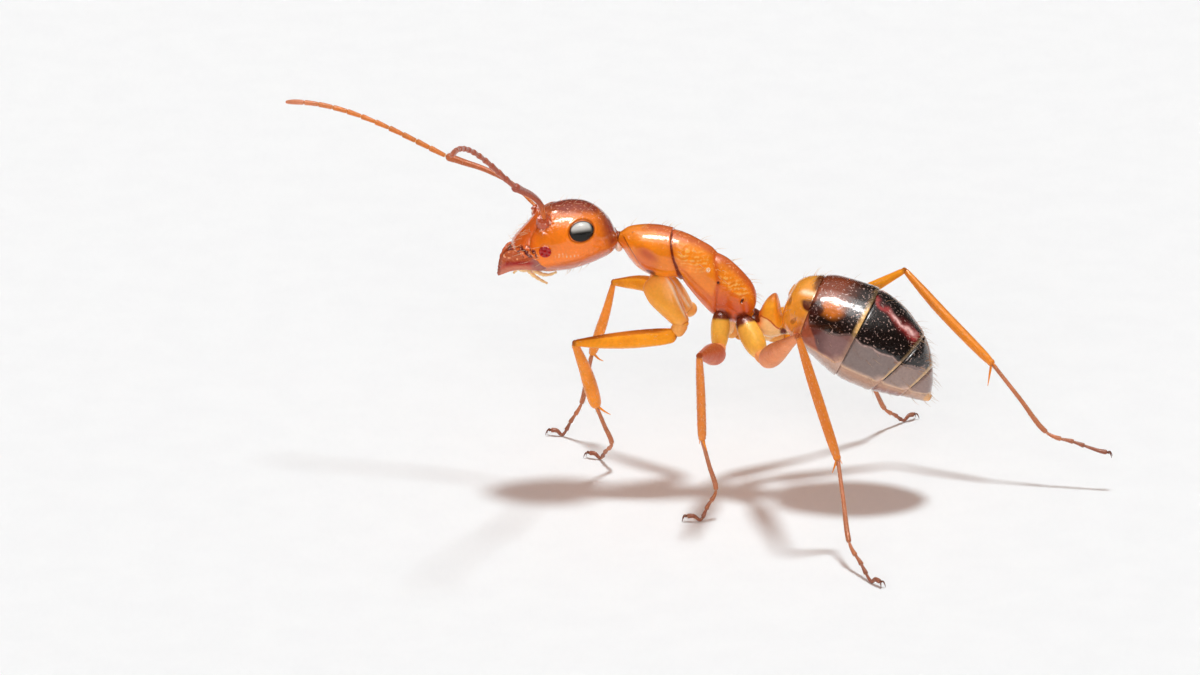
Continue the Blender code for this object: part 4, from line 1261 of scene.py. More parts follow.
def make_neck():
    paint = cuticle(
        "neck_brown", (0.52, 0.13, 0.05),
        (("pale", (0.90, 0.62, 0.48), 0.4, 8.0), ("dark", (0.10, 0.015, 0.010), 0.4, 8.0)),
        rough=0.2, grain=0.004, cell=18.0,
    )
    neck = Piece("neck_skin")
    a = HEAD_ORIGIN + aim(180 + HEAD_YAW, -HEAD_PITCH) * 0.12 + np.array([0, 0, 0.12])
    b = TRUNK_ORIGIN + np.array([0.22, 0, -0.02])
    p, share, angle, _ = limb(
        [a, a * 0.55 + b * 0.45 + np.array([0, 0, -0.01]), b],
        ((0, 0.155, 0.15), (0.3, 0.135, 0.13), (0.5, 0.115, 0.11), (0.7, 0.13, 0.125), (1, 0.17, 0.165)),
        80, 64, side=(0, 0, 1),
    )
    ring = 0.010 * np.cos(share * 34) + 0.006 * rolling(p, 51, 20.0, 2)
    p = p + surface_normals(p) * ring[..., None]
    neck.grid(p, {"pale": bell(share - 0.62, 0.10) * smooth(0.5, -0.2, np.cos(angle)), "dark": bell(share - 0.40, 0.06)})
    # the two plates below the neck
    for sign in (-1, 1):
        q, qs, _, _ = limb(
            [place(TRUNK, -0.10, sign * 0.06, -0.05), place(TRUNK, 0.00, sign * 0.14, -0.11), place(TRUNK, 0.16, sign * 0.19, -0.19)],
            ((0, 0.03, 0.02), (0.4, 0.075, 0.06), (1, 0.09, 0.085)), 46, 28, side=TRUNK[2],
        )
        neck.grid(q, {"pale": 0.9 + 0 * qs, "dark": 0 * qs})
    neck.build(paint.mat, "trunk_shell", ["neck"])


PETIOLE_TABLE = (
    # along X, top, bottom, half width
    (0.74, 4.05, 3.80, 0.11), (0.84, 4.04, 3.76, 0.145), (0.94, 4.02, 3.69, 0.19),
    (1.03, 4.16, 3.60, 0.26), (1.10, 4.30, 3.55, 0.30), (1.18, 4.42, 3.52, 0.325),
    (1.25, 4.495, 3.51, 0.335), (1.31, 4.54, 3.51, 0.335), (1.36, 4.55, 3.52, 0.325),
    (1.40, 4.51, 3.53, 0.31), (1.435, 4.38, 3.54, 0.29), (1.47, 4.18, 3.56, 0.26),
    (1.51, 4.00, 3.58, 0.22), (1.57, 3.90, 3.60, 0.165), (1.66, 3.885, 3.60, 0.145),
    (1.80, 3.88, 3.60, 0.14),
)


WAIST_SEAM = ((0.90, 3.93), (1.083, 4.09), (1.225, 4.055), (1.32, 3.992), (1.437, 3.84), (1.52, 3.78))


def make_petiole():
    x = np.concatenate([np.linspace(0.74, 1.25, 60), np.linspace(1.26, 1.55, 110), np.linspace(1.56, 1.80, 24)])
    top, bottom, wide = read_table(PETIOLE_TABLE, x).T
    a = (np.arange(120) * 2 * math.pi / 120)[None]
    mid, tall = ((top + bottom) / 2)[:, None], ((top - bottom) / 2)[:, None]
    lift = np.sin(a)
    # the scale is broad and blade-like above, egg-shaped below
    y = wide[:, None] * np.cos(a) * (1 + 0.05 * lift)
    z = mid + tall * lift
    p = np.stack([x[:, None] + 0 * a, y, z], -1)
    d = 0.003 * rolling(p, 61, 8.0)
    nodal = bell(x - 1.27, 0.22)[:, None]
    d += 0.006 * np.sin(z * 40 + 2 * rolling(p, 62, 5.0)) * nodal * (np.abs(np.cos(a)) > 0.5) * 0.4
    seam, _ = line_distance(p[..., 0], p[..., 2], WAIST_SEAM)
    d -= 0.010 * bell(seam, 0.025)
    p = p + surface_normals(p) * d[..., None]
    xs = p[..., 0]
    z = p[..., 2]
    marks = {
        "edge": smooth(4.38, 4.55, z),
        "front": smooth(1.20, 1.02, xs) * smooth(3.75, 4.0, z),
        "dark": np.maximum(
            smooth(1.09, 1.00, xs + 0.04 * rolling(p, 64, 30.0, 2)) * smooth(3.86, 3.96, z),
            bell(np.hypot((xs - 1.58) / 1.0, (z - 3.70) / 1.3), 0.085),
        ),
        "pale": smooth(0.03, -0.05, z - np.interp(xs, [q[0] for q in WAIST_SEAM], [q[1] for q in WAIST_SEAM]))
        * smooth(0.93, 1.03, xs),
        "seam": bell(seam, 0.02),
    }
    paint = cuticle(
        "waist_amber",
        (1.0, 0.385, 0.022),
        (
            ("pale", (1.0, 0.66, 0.30), 0.3, -6.0),
            ("front", (0.74, 0.15, 0.022), 0.4, -6.0),
            ("edge", (0.66, 0.16, 0.03), 0.4, -6.0),
            ("seam", (0.60, 0.13, 0.02), 0.3, 9.0),
            ("dark", (0.15, 0.022, 0.008), 0.5, 8.0),
        ),
        rough=0.22,
    )
    piece = Piece("waist_skin")
    piece.grid(p, marks)
    piece.build(paint.mat, "waist_scale", ["petiole"])


# ----------------------------------------------------------------------- gaster
def edge_station(line, a):
    """Where the plate's edge, a slanted plane, crosses the body at an angle."""
    (s0, n0), (s1, n1) = line
    s = np.full(np.shape(a), (s0 + s1) / 2)
    for _ in range(14):
        top, bottom, _ = np.moveaxis(read_table(GASTER_TABLE, s), -1, 0)
        n = (top + bottom) / 2 + (top - bottom) / 2 * np.sin(a)
        s = 0.5 * s + 0.5 * (s0 + (n - n0) * (s1 - s0) / (n1 - n0))
    return s


def gaster_point(s, a, off, shrink=1.0):
    top, bottom, wide = np.moveaxis(read_table(GASTER_TABLE, s), -1, 0)
    mid, tall = (top + bottom) / 2, ((top - bottom) / 2 + off) * shrink
    wide = (wide + off) * shrink
    return wide * np.cos(a), mid + tall * np.sin(a)


def side_edge(s, rise=0.0):
    """Angle of the seam between back plate and belly plate."""
    top, bottom, _ = np.moveaxis(read_table(GASTER_TABLE, np.clip(s, -0.25, 3.55)), -1, 0)
    n = 0.10 + 0.075 * s + rise
    return np.arcsin(np.clip((n - (top + bottom) / 2) / ((top - bottom) / 2), -0.95, 0.9))


GASTER_SKIN = []


def make_gaster():
    back, belly = 190, 90
    u_back = np.linspace(0, 1, back)
    u_belly = np.linspace(0, 1, belly + 2)[1:-1]
    paints = gaster_paints()
    slots = ["gaster_amber", "gaster_brown", "gaster_dark", "gaster_dark", "gaster_dark"]
    for k in range(5):
        rows = 150 if k < 4 else 90
        first = None if k == 0 else GASTER_RINGS[k - 1]
        last = GASTER_RINGS[k] if k < 4 else None
        # angles of the columns, refined with the station
        flat = np.concatenate([-0.4 + (math.pi + 0.8) * u_back, math.pi + 0.4 + (math.pi - 0.8) * u_belly])
        front = np.full(flat.shape, -0.300) if first is None else edge_station(first, flat)
        hind = np.full(flat.shape, 3.60) if last is None else edge_station(last, flat)
        lead = 0.0 if first is None else 0.12
        u = np.linspace(0, 1, rows)
        u = 0.35 * u + 0.65 * (0.5 - 0.5 * np.cos(math.pi * u))
        s = (front - lead)[None] + (hind - front + lead)[None] * u[:, None]
        before = hind[None] - s
        after = s - front[None]
        # the back plate's hind corners are rounded off
        corner = 0.16 * smooth(0.20, 0.0, before) ** 2 if last is not None else 0.0
        seam = side_edge(s, 0.0) + corner
        a = np.empty(s.shape)
        lo, hi = seam[:, :back], math.pi - seam[:, :back]
        a[:, :back] = lo + (hi - lo) * u_back[None]
        lo, hi = math.pi - seam[:, back:], 2 * math.pi + seam[:, back:]
        a[:, back:] = lo + (hi - lo) * u_belly[None]
        is_back = np.zeros(s.shape)
        is_back[:, :back] = 1.0

        off = np.zeros(s.shape)
        if first is not None:
            off += -0.045 * smooth(0.07, -0.02, after)
        if last is not None:
            off += 0.016 * smooth(0.35, 0.0, before)
            off += -0.008 * smooth(0.02, 0.0, before)
        off += np.where(is_back > 0, 0.0, -0.030 + 0.012 * smooth(0.0, 0.9, np.minimum(a - (math.pi - seam), 2 * math.pi + seam - a)))
        thick_edge = np.minimum(u_back, 1 - u_back)
        off[:, :back] += 0.006 * bell(thick_edge, 0.012)
        l, n = gaster_point(s, a, off)
        extra = np.array([0.15, 0.45, 0.75, 0.93, 0.995])
        grids_s, grids_l, grids_n, grids_a = [s], [l], [n], [a]
        grids_before, grids_after, grids_back = [before], [after], [is_back]
        if last is not None:
            # the plate's rounded rim, turned in under itself
            for step, drop in ((0.004, -0.006), (0.001, -0.018), (-0.02, -0.034), (-0.05, -0.045)):
                ss = s[-1:] + step
                ll, nn = gaster_point(ss, a[-1:], off[-1:] + drop)
                grids_s.append(ss), grids_l.append(ll), grids_n.append(nn), grids_a.append(a[-1:])
                grids_before.append(before[-1:]), grids_after.append(after[-1:]), grids_back.append(is_back[-1:])
        else:
            for e in extra:
                ss = s[-1:] + 0.05 * e
                ll, nn = gaster_point(s[-1:], a[-1:], off[-1:], math.sqrt(1 - e * e))
                grids_s.append(ss), grids_l.append(ll), grids_n.append(nn), grids_a.append(a[-1:])
                grids_before.append(before[-1:]), grids_after.append(after[-1:]), grids_back.append(is_back[-1:])
        if first is None:
            for e in extra:
                ss = s[:1] - 0.035 * e
                ll, nn = gaster_point(s[:1], a[:1], off[:1], math.sqrt(1 - e * e))
                grids_s.insert(0, ss), grids_l.insert(0, ll), grids_n.insert(0, nn), grids_a.insert(0, a[:1])
                grids_before.insert(0, before[:1]), grids_after.insert(0, after[:1]), grids_back.insert(0, is_back[:1])
        s, l, n, a, before, after, is_back = (
            np.concatenate(g) for g in (grids_s, grids_l, grids_n, grids_a, grids_before, grids_after, grids_back)
        )
        p = place(GASTER, s, l, n)
        shell = smooth(0.0, 0.08, after) if first is not None else 1.0
        d = 0.0030 * rolling(p, 71 + k, 4.0) + 0.0012 * rolling(p, 81 + k, 16.0, 2)
        d = d * shell * smooth(0.0, 0.05, before if last is not None else 1.0)
        # transverse wrinkles of the belly
        d += (1 - is_back) * 0.006 * np.sin(s * 34 + 1.6 * rolling(p, 91, 3.0)) * 0.5
        p = p + surface_normals(p) * d[..., None]
        marks = gaster_marks(k, s, l, n, a, before if last is not None else before + 9, after, is_back)
        piece = Piece("gaster_plate_%d" % (k + 1))
        piece.grid(p, marks)
        piece.build(paints[k].mat, slots[k], ["gaster_%d" % (k + 1)])
        GASTER_SKIN.append((p, s, l, n, a, before, after, is_back, marks))


def blob(s, n, cs, cn, rs, rn, turn=0.0):
    c, q = math.cos(turn), math.sin(turn)
    x, y = (s - cs) * c + (n - cn) * q, -(s - cs) * q + (n - cn) * c
    return smooth(1.15, 0.75, np.hypot(x / rs, y / rn))


def turned(s, n, cs, cn, rs, rn, turn):
    c, q = math.cos(turn), math.sin(turn)
    x, y = (s - cs) * c + (n - cn) * q, -(s - cs) * q + (n - cn) * c
    return x / rs, y / rn


def gaster_marks(k, s, l, n, a, before, after, is_back):
    side = smooth(0.25, 0.5, np.abs(l)) if k < 4 else smooth(-0.1, 0.1, np.abs(l))
    rise = np.sin(a)
    marks = {}
    spread = np.stack([s, l, n], -1)
    s, n = s + 0.045 * rolling(spread, 95, 11.0, 2), n + 0.045 * rolling(spread, 96, 11.0, 2)
    lower = np.minimum(np.abs(a - side_edge(s)), np.abs(math.pi - side_edge(s) - a)) * is_back
    line = np.interp(s, [-0.3, 0.32, 0.46, 1.35, 2.0, 2.37, 2.55, 3.0, 3.25, 3.6], [0.30, 0.54, 0.62, 1.0, 0.96, 1.0, 0.92, 0.96, 0.99, 0.95])
    marks["margin"] = np.clip(
        (
            0.35, 0.12 + 0.88 * smooth(0.95, 1.25, n) * smooth(1.80, 1.55, n),
            0.20 + 0.45 * smooth(0.1, -0.1, n - line), 0.20 + 0.5 * smooth(0.1, -0.1, n - line), 0.0,
        )[k] * smooth((0.05, 0.125, 0.08, 0.07, 0.07)[k], 0.035, before) * is_back
        + 0.55 * smooth(0.075, 0.03, lower) * is_back * (k > 0)
        + (1 - is_back) * smooth(0.16, 0.06, before) * 0.9,
        0, 1,
    )
    marks["belly"] = 1 - is_back
    marks["pink"] = (
        np.maximum(
            0.9 * smooth(0.30, 0.02, before) * smooth(0.34, 0.06, lower),
            0.55 * smooth(0.14, 0.02, lower),
        )
        * is_back * (k > 0)
    )
    marks["pale_belly"] = (1 - is_back) * smooth(0.55, 0.15, np.abs(rise + 0.42) * 1.6)
    if k == 0:
        wedge = turned(s, n, 0.04, 0.96, 1.0, 1.0, 0.44)
        # painted highlight: a pale streak across the first plate's flank
        marks["glow"] = bell(n - 1.09 - 0.62 * (s + 0.105), 0.045) * smooth(-0.16, -0.04, s) * side
        marks["patch"] = (
            smooth(0.05, -0.03, np.abs(wedge[1]) - 0.05 - 0.34 * wedge[0]) * smooth(-0.06, 0.03, wedge[0]) * side
            + 0.9 * smooth(1.25, 1.38, n) * smooth(0.16, 0.08, before) * (rise > 0.5)
            + 0.45 * blob(s, n, 0.08, 0.50, 0.05, 0.11) * side
            + 0.50 * blob(s, n, -0.20, 0.76, 0.045, 0.12) * smooth(0.2, 0.35, np.abs(l))
        )
        marks["low"] = smooth(0.95, 0.70, n) * smooth(0.14, 0.28, s) * side
    if k == 1:
        marks["patch"] = np.clip(blob(s, n, 0.36, 1.06, 0.20, 0.17, 0.5) * side, 0, 1)
        marks["warm"] = np.clip(
            smooth(1.18, 1.35, n) * smooth(1.15, 0.55, s) + 0.6 * smooth(0.75, 0.35, s) * is_back * smooth(0.95, 0.6, n), 0, 1
        )
        marks["blotch"] = np.clip(1.15 * smooth(1.40, 0.25, np.hypot(*turned(s, n, 0.67, 1.24, 0.28, 0.19, 0.5))) * side, 0, 1)
        marks["front"] = smooth(0.05, -0.05, s - np.interp(n, [0.0, 0.2, 0.456, 0.66, 0.874], [1.05, 0.92, 0.70, 0.44, 0.26])) * side
        marks["plum"] = smooth(1.10, 0.72, s + 0.5 * (n - 0.5)) * smooth(0.10, -0.06, n - line) * side
    if k == 2:
        # painted highlight on the third plate: a dark-red band along the highlight's line with a pale core
        streak = (n - 1.63 + 0.275 * (s - 2.1)) * 1.0
        marks["wine"] = bell(streak, 0.036 + 0.030 * smooth(1.7, 2.6, s)) * smooth(0.08, 0.22, np.abs(l)) * smooth(0.03, 0.12, before)
        marks["flash"] = bell(streak - 0.012, 0.024) * smooth(1.75, 2.05, s) * smooth(2.72, 2.5, s) * smooth(0.08, 0.22, np.abs(l))
    if k == 4:
        marks["tip"] = smooth(3.42, 3.58, s) * smooth(0.55, 0.25, n)
    if k > 0:
        # painted reflection: pale grey on the lower flank of each back plate, standing in for the reflection of the
        # white floor
        marks["bloom"] = smooth(0.03, -0.06, n - line) * side * is_back * smooth(-0.02, 0.03, after)
        # painted highlight: a pale line along the top edge of the grey reflection on the lower flank
        marks["fold"] = bell(n - line - 0.01, 0.022) * side * is_back * smooth(0.0, 0.06, after) * (0.85 if k == 2 else 0.45)
        # painted glints on the back plates above the grey lower flank, strongest on the second plate's top
        marks["spark"] = is_back * (0.55 + 0.45 * smooth(1.25, 1.45, n) * (k == 1)) * smooth(-0.05, 0.05, n - line)
    return marks


def gaster_paints():
    straw = (0.92, 0.56, 0.20)
    belly = (0.46, 0.29, 0.22)
    common = dict(rough=0.17, grain=0.0016, cell=24.0)
    deep = dict(ior=1.6, level=0.16, coat=0.85, coat_rough=0.07, sub=0.0, glint=0.0085, wave=0.008, spark=(0.62, 0.42, 0.36))
    one = cuticle(
        "gaster_amber",
        (1.0, 0.36, 0.035),
        (
            ("low", (0.62, 0.165, 0.045), 0.4, -6.0),
            ("glow", (1.0, 0.78, 0.48), 0.7, -9.0),
            ("margin", (0.95, 0.42, 0.12), 0.4, -10.0),
            ("patch", (0.10, 0.014, 0.004), 0.4, -9.0),
            ("belly", (0.80, 0.42, 0.20), 0.2, 6.0),
        ),
        rough=0.2, grain=0.0016, glint=0.0060, coat=0.95, coat_rough=0.07, level=0.10, wave=0.006,
    )
    two = cuticle(
        "gaster_brown",
        (0.014, 0.0055, 0.0035),
        (
            ("bloom", (0.235, 0.115, 0.105), 0.14, 9.0),
            ("fold", (0.40, 0.25, 0.22), 1.0, -10.0),
            ("warm", (0.255, 0.045, 0.010), 0.5, -7.0),
            ("plum", (0.115, 0.030, 0.027), 0.3, -6.0),
            ("front", (0.40, 0.105, 0.050), 0.5, -8.0),
            ("blotch", (0.66, 0.165, 0.008), 0.35, -7.0),
            ("patch", (0.045, 0.007, 0.003), 0.3, -6.0),
            ("margin", straw, 0.9, -16.0),
            ("pink", (0.82, 0.50, 0.36), 0.7, -9.0),
            ("belly", belly, 0.2, -6.0),
            ("pale_belly", (0.66, 0.45, 0.36), 0.5, -7.0),
        ),
        **common, **deep, pits=0.0022,
    )
    rest = []
    # each plate's colour for the painted floor reflection
    for name, bloom in (
        ("gaster_dark_3", (0.22, 0.165, 0.15)), ("gaster_dark_4", (0.31, 0.22, 0.19)), ("gaster_dark_5", (0.30, 0.20, 0.175)),
    ):
        rest.append(
            cuticle(
                name,
                (0.0085, 0.0042, 0.0032),
                (
                    ("wine", (0.40, 0.040, 0.038), 1.0, -14.0),
                    ("flash", (0.98, 0.60, 0.56), 1.0, -14.0),
                    ("bloom", bloom, 0.14, 9.0),
                    ("fold", (0.55, 0.38, 0.34), 1.0, -10.0),
                    ("margin", (0.80, 0.50, 0.22), 0.9, -16.0),
                    ("pink", (0.78, 0.52, 0.40), 0.7, -9.0),
                    ("belly", belly if "4" not in name else (0.30, 0.12, 0.10), 0.2, -6.0),
                    ("pale_belly", (0.56, 0.34, 0.24), 0.5, -7.0),
                    ("tip", (0.80, 0.42, 0.16), 0.3, 9.0),
                ),
                **common, **deep, pits=0.0022,
            )
        )
    return [one, two, *rest]


TRUNK_SKIN = make_mesosoma()
make_neck()
make_petiole()
make_gaster()


# ------------------------------------------------------------------------- legs
FEMUR_SHAPE = {
    "fore": ((0, 0.135), (0.05, 0.165), (0.18, 0.195), (0.42, 0.202), (0.68, 0.165), (0.86, 0.115), (0.95, 0.088), (1, 0.080)),
    "mid": ((0, 0.14), (0.05, 0.20), (0.14, 0.245), (0.27, 0.245), (0.46, 0.20), (0.70, 0.138), (0.88, 0.095), (0.96, 0.078), (1, 0.074)),
    "hind": ((0, 0.14), (0.05, 0.20), (0.13, 0.245), (0.25, 0.248), (0.45, 0.205), (0.70, 0.140), (0.88, 0.095), (0.96, 0.078), (1, 0.074)),
}
TIBIA_SHAPE = {
    "fore": ((0, 0.058), (0.05, 0.082), (0.30, 0.125), (0.62, 0.160), (0.88, 0.148), (1, 0.110)),
    "mid": ((0, 0.055), (0.05, 0.074), (0.30, 0.095), (0.65, 0.102), (0.90, 0.100), (1, 0.082)),
    "hind": ((0, 0.055), (0.05, 0.075), (0.28, 0.108), (0.55, 0.118), (0.85, 0.108), (1, 0.082)),
}
SPURS = {
    "fore_left": (0.30, -0.17), "fore_right": (0.24, -0.14), "mid_left": (0.10, -0.26),
    "mid_right": (0.20, -0.20), "hind_left": (-0.10, -0.30), "hind_right": (-0.08, -0.50),
}
LEG_GRIDS = []


def leg_paints():
    amber = (1.0, 0.345, 0.022)
    coxa = cuticle(
        "coxa_amber", (1.0, 0.50, 0.070),
        (("rim", (0.30, 0.05, 0.010), 0.25, 9.0), ("pale", (1.0, 0.58, 0.24), 0.4, -5.0), ("red", (0.62, 0.12, 0.04), 0.4, -5.0), ("orange", (1.0, 0.36, 0.045), 0.3, -5.0), ("ridge", (1.0, 0.80, 0.56), 0.2, -6.0), ("cup", (0.15, 0.022, 0.012), 0.4, -12.0)),
        rough=0.22, grain=0.0014,
    )
    thigh = cuticle(
        "femur_amber", amber,
        (
            ("brown", (0.60, 0.135, 0.045), 0.25, -5.0),
            ("top", (0.60, 0.16, 0.014), 0.25, 7.0),
            ("joint", (0.24, 0.045, 0.012), 0.3, -9.0),
            ("pale", (1.0, 0.50, 0.17), 0.4, -6.0),
        ),
        rough=0.26, grain=0.0014, level=0.04, coat=0.0,
    )
    # painted shade: a darker copy of the femur's amber for the near-side middle and hind femora
    near_shaded_thigh = cuticle(
        "femur_near_side_shaded", (1.0, 0.36, 0.15),
        (
            ("brown", (0.64, 0.130, 0.048), 0.25, -5.0),
            ("top", (0.40, 0.075, 0.020), 0.25, -7.0),
            ("joint", (0.24, 0.045, 0.012), 0.3, -9.0),
            ("pale", (0.95, 0.40, 0.12), 0.4, -6.0),
        ),
        rough=0.34, grain=0.0010, level=0.03, coat=0.0,
    )
    shin = cuticle(
        "tibia_amber", (0.95, 0.30, 0.028),
        (("brown", (0.74, 0.22, 0.035), 0.3, -5.0), ("joint", (0.32, 0.06, 0.015), 0.3, -9.0), ("streak", (0.66, 0.17, 0.016), 0.3, -6.0)),
        rough=0.26, grain=0.0016,
    )
    foot = cuticle(
        "tarsus_brown", (0.52, 0.185, 0.085),
        (("brown", (0.30, 0.105, 0.06), 0.3, 6.0), ("joint", (0.17, 0.035, 0.016), 0.3, 9.0)),
        rough=0.32, grain=0.0018,
    )
    claw = cuticle("claw_dark", (0.16, 0.045, 0.022), rough=0.18, grain=0.0010, sub=0.0)
    return coxa, thigh, near_shaded_thigh, shin, foot, claw


def leg_points(pair, side):
    flip = np.array([1, 1 if side == "left" else -1, 1])
    base, hip = (np.array(v) * flip for v in COXAE[pair])
    *turns, toe = POSE[pair + "_" + side]
    points = [hip]
    for length, turn in zip(LEG_LENGTHS[pair], turns):
        points.append(points[-1] + aim(*turn) * length)
    if toe is None:
        points.append(points[-1] + aim(turns[-1][0] + 4, turns[-1][1] + 6) * 0.25)
    else:
        points[-1][2] = 0.052
        points.append(points[-1] + aim(toe, 0) * LEG_LENGTHS[pair][4] + np.array([0, 0, 0.075]))
    return base, points


def make_leg(pair, side, paints):
    name = pair + "_" + side
    coxa_paint, thigh_paint, near_shaded_thigh_paint, shin_paint, foot_paint, claw_paint = paints
    if side == "left" and pair != "fore":
        thigh_paint = near_shaded_thigh_paint
    base, (hip, knee, ankle, bend, ball, toe) = leg_points(pair, side)

    # coxa
    if pair == "fore":
        base = base * (1, 0.66, 1) + (-0.205 if side == "left" else -0.21, 0, 0.02)
    along = unit(hip - base)
    rows = {
        "fore": ((0.345, 0.15), (0.365, 0.20), (0.31, 0.26), (0.245, 0.26), (0.18, 0.19)),
        "mid": ((0.19, 0.20), (0.225, 0.23), (0.225, 0.23), (0.205, 0.21), (0.155, 0.155)),
        "hind": ((0.22, 0.21), (0.265, 0.245), (0.275, 0.25), (0.25, 0.24), (0.17, 0.17)),
    }[pair]
    shape = [(0.0, rows[0][0] * 0.80, rows[0][1] * 0.80)]
    for i, (p, q) in enumerate(rows):
        shape.append((0.14 + 0.80 * i / (len(rows) - 1), p - 0.014, q - 0.014))
    shape.append((1.0, rows[-1][0] * 0.78, rows[-1][1] * 0.78))
    start, end = base - along * rows[0][1] * 0.75, hip + along * 0.10
    line = [start, (start + end) / 2, end + ({"fore_left": 0.05, "fore_right": -0.07}.get(name, 0.0), 0, 0)]
    if name == "fore_right":
        shape = [(q, r * 0.85, w) for q, r, w in shape]
    g, share, angle, _ = limb(line, shape, 110, 72, side=(1, 0, 0))
    d = -0.012 * bell(share - 0.945, 0.014) + 0.008 * bell(share - 0.975, 0.014) + 0.0025 * rolling(g, 101, 5.0)
    if pair == "fore":
        d += 0.014 * bell(angle - 0.62, 0.10) * smooth(0.15, 0.4, share) * smooth(1.0, 0.8, share)
    g = g + surface_normals(g) * d[..., None]
    away = side == "right"
    piece = Piece("coxa_skin_" + name)
    piece.grid(
        g,
        {
            "rim": np.maximum(bell(share - 0.945, 0.012), 0.8 * smooth(0.985, 1.0, share)),
            # pale: lighter towards the far end; the far-side middle and hind coxae are also painted pale all over, a
            # painted glow as if lit through
            "pale": smooth(0.80, 0.93, share) * 0.55 * (share < 0.94) + (0.9 if away and pair != "fore" else 0.0),
            "red": smooth(0.30, 0.10, share) * (0.4 if pair == "fore" else 0.9),
            "orange": np.full(share.shape, 0.55 if pair == "fore" else 0.0),
            # painted shade at the top of each coxa, where it enters the trunk
            "cup": smooth(0.29, 0.19, share + 0.05 * rolling(g, 105, 16.0, 2)) * (pair != "fore")
            + smooth(0.17, 0.10, np.linalg.norm(g * (1, -1 if side == "right" else 1, 1) - np.array((-1.47, -0.43, 4.92)), axis=-1) * 0.8 + 0.02 * rolling(g, 106, 16.0, 2)) * (pair == "fore"),
            "ridge": bell(angle - 0.62, 0.15) * smooth(0.10, 0.25, share) * smooth(0.93, 0.8, share) * (pair == "fore"),
        },
    )
    piece.build(coxa_paint.mat, "hip", ["coxa_" + name])
    LEG_GRIDS.append((g, share, 0.6))

    # trochanter and femur
    turn = unit(unit(hip - base) + unit(knee - hip))
    bend_at = hip + turn * TROCHANTER[pair]
    femur = Piece("femur_skin_" + name)
    small = 0.155 if pair == "fore" else 0.15
    g, share, angle, _ = limb(
        [hip - turn * 0.10, hip.copy() + turn * 0.05, bend_at + unit(knee - bend_at) * 0.06],
        ((0, small * 0.85), (0.4, small * 1.08), (0.8, small * 1.02), (1, small * 0.86)),
        48, 44, side=(0, 0, 1),
    )
    femur.grid(g, {"pale": 0.7 + 0 * share, "joint": 0.8 * smooth(0.12, 0.0, share) + 0.7 * smooth(0.93, 1.0, share)})
    out = unit(knee - bend_at)
    up = unit(np.array([0, 0, 1.0]) - out * out[2])
    sag = {"fore_left": -0.05, "fore_right": 0.98}.get(name, 0.03)
    g, share, angle, _ = limb(
        [bend_at - out * 0.02, bend_at + (knee - bend_at) * 0.5 + up * sag * 0.3, knee + out * 0.055],
        FEMUR_SHAPE[pair], 130, 56, side=(0, 0, 1),
    )
    # a shallow groove below the knee and a flatter inner face
    d = -0.010 * bell(share - 0.965, 0.010) + 0.0022 * rolling(g, 111, 5.0)
    d = d - 0.020 * smooth(0.80, 1.0, share) * smooth(0.6, 1.0, -np.cos(angle))
    g = g + surface_normals(g) * d[..., None]
    # near-side middle and hind legs get painted shade: darker femora and tibiae
    brown = 1.0 if side == "left" and pair != "fore" else 0.0
    femur.grid(
        g,
        {
            "brown": np.full(share.shape, brown * (1.0 if pair == "mid" else 0.15)),
            "top": smooth(-0.1 if brown else 0.55, 0.95, np.cos(angle)) * smooth(0.03, 0.2, share) * (0.9 if pair == "fore" or brown else 0.35),
            "joint": np.maximum(0.9 * smooth(0.025, 0.0, share), 0.75 * smooth(0.945, 0.985, share)),
            "pale": 0.6 * smooth(-0.3, -0.9, np.cos(angle)) * smooth(0.1, 0.3, share) * smooth(0.9, 0.7, share) * (pair == "fore"),
        },
    )
    femur.build(thigh_paint.mat, "leg", ["femur_" + name])
    LEG_GRIDS.append((g, share, 1.0))

    # tibia and its spur
    tibia = Piece("tibia_skin_" + name)
    down = unit(ankle - knee)
    out_of_plane = unit(np.cross(down, out))
    inside = np.cross(out_of_plane, down)
    curve = 0.035
    g, share, angle, axes = limb(
        [knee - down * 0.02, knee * 0.55 + ankle * 0.45 - inside * curve, ankle + down * 0.02],
        [(q, r * (0.74 if name == "fore_right" else 1.0)) for q, r in TIBIA_SHAPE[pair]], 120, 44, side=inside,
    )
    d = -0.008 * bell(share - 0.955, 0.010) + 0.0020 * rolling(g, 121, 6.0)
    g = g + surface_normals(g) * d[..., None]
    tibia.grid(
        g,
        {
            # painted shade on the near-side middle and hind tibiae
            "brown": np.full(share.shape, 0.75 if brown else 0.0),
            "joint": np.maximum(smooth(0.035, 0.0, share), 0.6 * smooth(0.965, 1.0, share)),
            "streak": 0.7 * bell(np.sin((angle - 0.5) / 2), 0.25) * smooth(0.05, 0.2, share) * smooth(0.9, 0.7, share),
        },
    )
    LEG_GRIDS.append((g, share, 2.2))
    right, raise_ = SPURS[name]
    spur = VIEW_RIGHT * right + VIEW_UP * raise_
    root = ankle - down * 0.05 + unit(spur) * 0.03
    hook = spur + down * 0.04
    if pair == "fore":
        line = [root, root + spur * 0.55 + down * 0.05, root + hook]
    else:
        line = [root, root + spur * 0.5, root + spur]
    q, qs, _, _ = limb(line, ((0, 0.030), (0.35, 0.026), (0.75, 0.015), (1, 0.006)), 34, 14, side=down)
    tibia.grid(q, {"joint": 0.25 * smooth(0.3, 0.0, qs)})
    for s_ in (-1, 1):
        q, qs, _, _ = limb(
            [ankle + out_of_plane * s_ * 0.05, ankle + out_of_plane * s_ * 0.07 + down * 0.12],
            ((0, 0.014), (1, 0.005)), 16, 10, side=inside,
        )
        tibia.grid(q, {"joint": qs * 0})
    tibia.build(shin_paint.mat, "leg", ["tibia_" + name])

